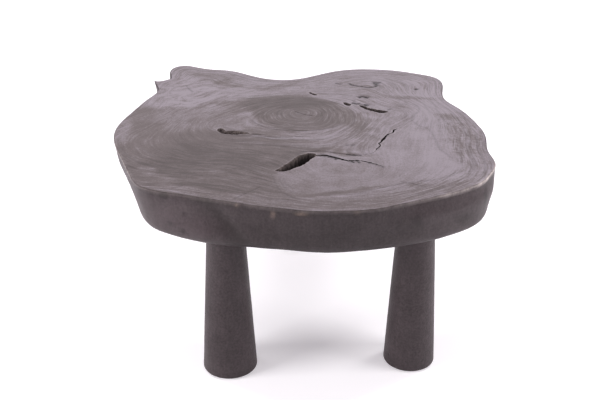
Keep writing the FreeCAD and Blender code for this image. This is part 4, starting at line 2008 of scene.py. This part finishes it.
        # Painted shade: a band along the fold and a shadow line under the rounded rim, plus the front's
        # painted shade and light
        painted_rim_shadow = np.exp(-((drop - 7 * MM) / (6 * MM)) ** 2)
        shade = self.fold_shade * self.fold(points) + self.under_rim_shade * painted_rim_shadow
        fields = {
            "ring": self.ring_field(plan),
            "tone_and_painted_light": tone_and_painted_light,
            "lively": lively,
            "hatch": covered(HATCHED, plan),
            "wisp": covered(WISPY, plan),
            # Painted shade in holes and cracks too narrow for light to reach
            "narrow_hole_shade": 1.0 - covered(WIDE_HOLES, plan),
            "crease": self.crease_field(plan)[0] * (drop < 4 * MM),
            # Rubbed stain, and a painted highlight along the rim and the lips of the holes
            "wear": self.wear_and_highlight_field(points),
            "smear": self.front_marks(points, SMEARS),
            "shade": shade + self.front_marks(points, FLANK_MARKS_AND_SHADING),
        }
        for name, values in fields.items():
            write_attribute(mesh, name, values)

    def dress(self, piece: bpy.types.Object) -> None:
        """Give the slab its finishes and its place in the table.

        Args:
            piece: The slab.
        """
        finishes = {
            Side.TOP: TopFinish("slab_top_wax"),
            Side.FLANK: SideFinish("slab_flank_stain"),
            Side.HOLLOW: HollowFinish("slab_hollow_raw", top=self.top),
        }
        for side in Side:
            piece.data.materials.append(finishes[side].material())
        seat(piece, Slot.SLAB, self.node)


# Legs

class LatheTree:
    """A geometry node tree that turns a leg: a cone with a recess in its foot and a bore in its head."""

    SIZES = ("Foot Radius", "Head Radius", "Length", "Foot Round", "Head Round", "Recess Radius",
             "Recess Depth", "Bore Radius", "Bore Depth", "Waver")
    COUNTS = {"Sides": 112, "Rows": 230, "Seed": 1}
    ROUND_STEPS = 6
    SEAM = 0.01 * MM
    LUMP_SCALE = 1.3
    LUMPS_UP = 14.0
    END_FADE = 0.02
    SIDE_FROM = 0.97
    SHARP_DEGREES = 50

    def __init__(self) -> None:
        """Lay the tree out."""
        self.tree = bpy.data.node_groups.new("turned_leg", "GeometryNodeTree")
        face = self.tree.interface
        for name in self.SIZES:
            face.new_socket(name, in_out="INPUT", socket_type="NodeSocketFloat")
        for name, count in self.COUNTS.items():
            face.new_socket(name, in_out="INPUT", socket_type="NodeSocketInt").default_value = count
        face.new_socket("Place", in_out="INPUT", socket_type="NodeSocketVector")
        face.new_socket("Finish", in_out="INPUT", socket_type="NodeSocketMaterial")
        face.new_socket("Geometry", in_out="OUTPUT", socket_type="NodeSocketGeometry")
        self.graph = Graph(self.tree)
        self.given = self.graph.add("NodeGroupInput").outputs
        turned = self.turn(self.profile())
        shaded = self.graph.add("GeometryNodeSetShadeSmooth", {"Geometry": turned}).outputs[0]
        real = self.graph.add("GeometryNodeRealizeInstances", {"Geometry": shaded}).outputs[0]
        feeds = {"Geometry": real, "Material": self.given["Finish"]}
        dressed = self.graph.add("GeometryNodeSetMaterial", feeds).outputs[0]
        self.graph.add("NodeGroupOutput", {"Geometry": dressed})

    def profile(self) -> Socket:
        """Half of the leg's section, from the recess in its foot round to the bottom of its bore.

        Returns:
            The section as a curve: X is the distance from the axis, Z the height.
        """
        graph, given = self.graph, self.given
        bore_floor = graph.calc("SUBTRACT", given["Length"], given["Bore Depth"])
        corners = (
            (0.0, given["Recess Depth"]),
            (given["Recess Radius"], given["Recess Depth"]),
            (given["Recess Radius"], 0.0),
            (given["Foot Radius"], 0.0),
            (given["Head Radius"], given["Length"]),
            (given["Bore Radius"], given["Length"]),
            (given["Bore Radius"], bore_floor),
            (0.0, bore_floor),
        )
        rounds = {3: given["Foot Round"], 4: given["Head Round"]}
        index = graph.add("GeometryNodeInputIndex").outputs[0]
        places = graph.add("GeometryNodeIndexSwitch", data_type="VECTOR")
        radii = graph.add("GeometryNodeIndexSwitch", data_type="FLOAT")
        for switch in (places, radii):
            while len(switch.index_switch_items) < len(corners):
                switch.index_switch_items.new()
            graph.feed(switch.inputs[0], index)
        for i, (across, height) in enumerate(corners):
            graph.feed(places.inputs[i + 1], graph.vector(across, 0.0, height))
            graph.feed(radii.inputs[i + 1], rounds.get(i, 0.0))
        line = graph.add("GeometryNodeMeshLine", {"Count": len(corners)}).outputs[0]
        feeds = {"Geometry": line, "Position": places.outputs[0]}
        line = graph.add("GeometryNodeSetPosition", feeds).outputs[0]
        curve = graph.add("GeometryNodeMeshToCurve", {"Mesh": line}).outputs[0]
        feeds = {"Curve": curve, "Radius": radii.outputs[0], "Count": self.ROUND_STEPS}
        return graph.add("GeometryNodeFilletCurve", feeds, mode="POLY").outputs[0]

    def turn(self, profile: Socket) -> Socket:
        """Turn the section round the leg's axis, with a little unevenness in its side.

        Args:
            profile: The section's curve.

        Returns:
            The leg's closed mesh, in its place.
        """
        graph, given = self.graph, self.given
        columns = graph.calc("ADD", given["Sides"], 1.0)
        feeds = {"Size X": 1.0, "Size Y": 1.0, "Vertices X": columns, "Vertices Y": given["Rows"]}
        grid = graph.add("GeometryNodeMeshGrid", feeds).outputs["Mesh"]
        position = graph.add("GeometryNodeInputPosition").outputs[0]
        spot = graph.parts(position)
        angle = graph.times(graph.calc("ADD", spot["X"], 0.5), 2 * math.pi)
        feeds = {"Curves": profile, "Factor": graph.calc("ADD", spot["Y"], 0.5)}
        sampled = graph.add("GeometryNodeSampleCurve", feeds, mode="FACTOR").outputs["Position"]
        section = graph.parts(sampled)
        radius = graph.calc("ADD", section["X"], self.unevenness(section, angle))
        x, y = (graph.times(radius, graph.calc(way, angle)) for way in ("COSINE", "SINE"))
        feeds = {0: graph.vector(x, y, section["Z"]), 1: given["Place"]}
        placed = graph.add("ShaderNodeVectorMath", feeds, operation="ADD").outputs[0]
        turned = graph.add("GeometryNodeSetPosition", {"Geometry": grid, "Position": placed}).outputs[0]
        feeds = {"Geometry": turned, "Distance": self.SEAM}
        return graph.add("GeometryNodeMergeByDistance", feeds).outputs[0]

    def unevenness(self, section: Sequence[Socket], angle: Socket) -> Socket:
        """How far the leg's side stands proud of a true cone.

        Args:
            section: The place on the section.
            angle: The angle about the axis.

        Returns:
            A small distance, 0 in the recess and the bore and at the leg's two ends.
        """
        graph, given = self.graph, self.given
        up = graph.times(section["Z"], self.LUMPS_UP)
        place = graph.vector(graph.calc("COSINE", angle), graph.calc("SINE", angle), up)
        feeds = {"Vector": place, "W": given["Seed"], "Scale": self.LUMP_SCALE, "Detail": 2.0}
        lumps = graph.add("ShaderNodeTexNoise", feeds, noise_dimensions="4D").outputs[0]
        least = graph.times(given["Head Radius"], self.SIDE_FROM)
        outer = graph.calc("GREATER_THAN", section["X"], least)
        end_gap = graph.calc("MINIMUM", section["Z"], graph.calc("SUBTRACT", given["Length"], section["Z"]))
        clear = graph.times(outer, graph.remap(end_gap, 0.0, self.END_FADE))
        size = graph.times(clear, given["Waver"])
        return graph.times(size, graph.calc("MULTIPLY_ADD", lumps, 2.0, -1.0))

    def make(self, name: str, values: dict[str, object]) -> bpy.types.Object:
        """Turn one leg into a plain mesh.

        Args:
            name: The leg's name.
            values: The tree's inputs, by name.

        Returns:
            The leg, in the scene.
        """
        blank = bpy.data.meshes.new(name + "_blank")
        carrier = into_scene(bpy.data.objects.new(name + "_blank", blank))
        modifier = carrier.modifiers.new("turning", "NODES")
        modifier.node_group = self.tree
        for item in self.tree.interface.items_tree:
            if item.in_out == "INPUT" and item.name in values:
                modifier[item.identifier] = values[item.name]
        ready = bpy.context.evaluated_depsgraph_get()
        mesh = bpy.data.meshes.new_from_object(carrier.evaluated_get(ready), depsgraph=ready)
        carrier.modifiers.remove(modifier)
        bpy.data.objects.remove(carrier)
        mesh.name = name
        mesh.set_sharp_from_angle(angle=math.radians(self.SHARP_DEGREES))
        log.info("%s: %d faces", name, len(mesh.polygons))
        return into_scene(bpy.data.objects.new(name, mesh))


@dataclass
class Leg:
    """One turned leg, wider at the foot, with its glide and its steel fittings."""

    place: LegPlace
    tree: LatheTree
    foot_round: float = 4.0 * MM
    head_round: float = 1.2 * MM
    waver: float = 0.45 * MM
    glide_gap: float = 0.5 * MM
    bolt_gap: float = 3.0 * MM

    def node(self, kind: str) -> str:
        """The name of one of the leg's nodes."""
        return f"{kind}_{self.place.value}"

    def build(self) -> bpy.types.Object:
        """Turn the leg to the sizes of the CAD leg and of what sits in it.

        Returns:
            The leg.
        """
        low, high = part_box(self.node("leg"))
        glide_low, glide_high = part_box(self.node("floor_glide"))
        bolt_low, bolt_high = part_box(self.node("hanger_bolt"))
        middle = (low + high) / 2
        points = CadShape(self.node("leg")).points
        head = points[points[:, 2] > high.z - 2 * self.head_round]
        head_radius = np.linalg.norm(head[:, :2] - np.array(middle)[:2], axis=1).max()
        seed = 1 + list(LegPlace).index(self.place)
        name = self.node("turned_leg")
        return self.tree.make(name, {
            "Foot Radius": (high.x - low.x) / 2,
            "Head Radius": float(head_radius),
            "Length": high.z - low.z,
            "Foot Round": self.foot_round,
            "Head Round": self.head_round,
            "Recess Radius": (glide_high.x - glide_low.x) / 2 + self.glide_gap,
            "Recess Depth": glide_high.z - low.z,
            "Bore Radius": (bolt_high.x - bolt_low.x) / 2,
            "Bore Depth": high.z - bolt_low.z + self.bolt_gap,
            "Waver": self.waver,
            "Seed": seed,
            "Place": (middle.x, middle.y, low.z),
            "Finish": LegFinish(name + "_stain", seed=float(seed)).material(),
        })

    def dress(self, piece: bpy.types.Object) -> None:
        """Give the leg its place in the table, and its glide and fittings their finish.

        Args:
            piece: The leg.
        """
        seat(piece, Slot.LEG, self.node("leg"))
        dress_node(self.node("floor_glide"), RubberFinish("glide_rubber"))
        for kind in ("hanger_bolt", "leg_plate", "plate_screws"):
            dress_node(self.node(kind), ZincFinish("zinc_plate"))


def dress_node(node: str, finish: Finish) -> None:
    """Give a CAD node that stays in view a finish.

    Args:
        node: The node's name.
        finish: Its finish.
    """
    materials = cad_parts[node].data.materials
    materials.clear()
    materials.append(finish.material())
    log.info("%s: %s", node, finish.name)


# Studio

@dataclass(frozen=True)
class LampPair:
    """The lamps at one side of the table: a high one behind it, and a low, broad one in front."""

    name: str
    side: int
    high_watts: float
    low_watts: float
    low_y: float


@dataclass(frozen=True)
class Studio:
    """The floor, the light and the camera."""

    floor_reach: float = 30.0
    sky: float = 0.32
    lamps: tuple[LampPair, ...] = (
        LampPair("left", -1, 35.5, 61.0, -1.05),
        LampPair("right", 1, 37.5, 43.0, -0.75),
    )
    high_x: float = 2.02
    high_y: float = 1.2
    high_z: float = 2.35
    high_size: float = 0.75
    low_x: float = 2.1
    low_z: float = 0.75
    low_size: float = 1.2
    lamp_aim: tuple[float, float, float] = (0.0, 0.0, 0.35)
    backdrop: Colour = (1.0, 0.95, 1.0, 1.0)
    camera_place: tuple[float, float, float] = (0.0019, -2.0399, 1.262)
    camera_tilt_degrees: float = 26.5
    focal_pixels: float = 980.0

    def build(self) -> None:
        """Set the stage up."""
        self.lay_floor()
        self.light()
        self.set_camera()
        bpy.context.scene.view_settings.view_transform = "Standard"

    def lay_floor(self) -> None:
        """Lay the floor."""
        reach = self.floor_reach
        mesh = bpy.data.meshes.new("floor")
        corners = [(-reach, -reach, 0), (reach, -reach, 0), (reach, reach, 0), (-reach, reach, 0)]
        mesh.from_pydata(corners, [], [(0, 1, 2, 3)])
        mesh.materials.append(FloorFinish("studio_floor").material())
        into_scene(bpy.data.objects.new("floor", mesh))

    def light(self) -> None:
        """Light the table softly, with a dim sky and a pair of lamps at each side."""
        world = bpy.data.worlds.new("studio")
        world.use_nodes = True
        bpy.context.scene.world = world
        graph = Graph(world.node_tree)
        sky = world.node_tree.nodes["Background"]
        sky.inputs["Color"].default_value = self.backdrop
        graph.feed(sky.inputs["Strength"], graph.remap(seen_ray(graph), 0.0, 1.0, self.sky, 1.0))
        for pair in self.lamps:
            high = (self.high_x * pair.side, self.high_y, self.high_z)
            self.lamp(pair.name + "_key", high, self.high_size, pair.high_watts)
            low = (self.low_x * pair.side, pair.low_y, self.low_z)
            self.lamp(pair.name + "_fill", low, self.low_size, pair.low_watts)

    def lamp(self, name: str, place: Sequence[float], size: float, watts: float) -> None:
        """Hang one square lamp that faces the table.

        Args:
            name: Its name.
            place: Where it hangs.
            size: The length of its side.
            watts: Its power.
        """
        light = bpy.data.lights.new(name, "AREA")
        light.size = size
        light.energy = watts
        lamp = into_scene(bpy.data.objects.new(name, light))
        lamp.location = place
        aim = Vector(self.lamp_aim) - lamp.location
        lamp.rotation_euler = aim.to_track_quat("-Z", "Y").to_euler()
        lamp.visible_glossy = False

    def set_camera(self) -> None:
        """Set the camera where the photograph was taken from."""
        lens = bpy.data.cameras.new("camera")
        lens.sensor_width = SENSOR_WIDTH_MM
        lens.lens = self.focal_pixels * SENSOR_WIDTH_MM / IMAGE_WIDTH_PIXELS
        camera = into_scene(bpy.data.objects.new("camera", lens))
        camera.location = self.camera_place
        camera.rotation_euler = (math.radians(90.0 - self.camera_tilt_degrees), 0.0, 0.0)
        bpy.context.scene.camera = camera


def main() -> None:
    """Build the table's looks."""
    logging.basicConfig(level=logging.INFO, format="%(name)s: %(message)s")
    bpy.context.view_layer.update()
    slab = Slab()
    slab.dress(slab.build())
    lathe = LatheTree()
    for place in LegPlace:
        leg = Leg(place, lathe)
        leg.dress(leg.build())
    Studio().build()


if __name__ == "__main__":
    main()
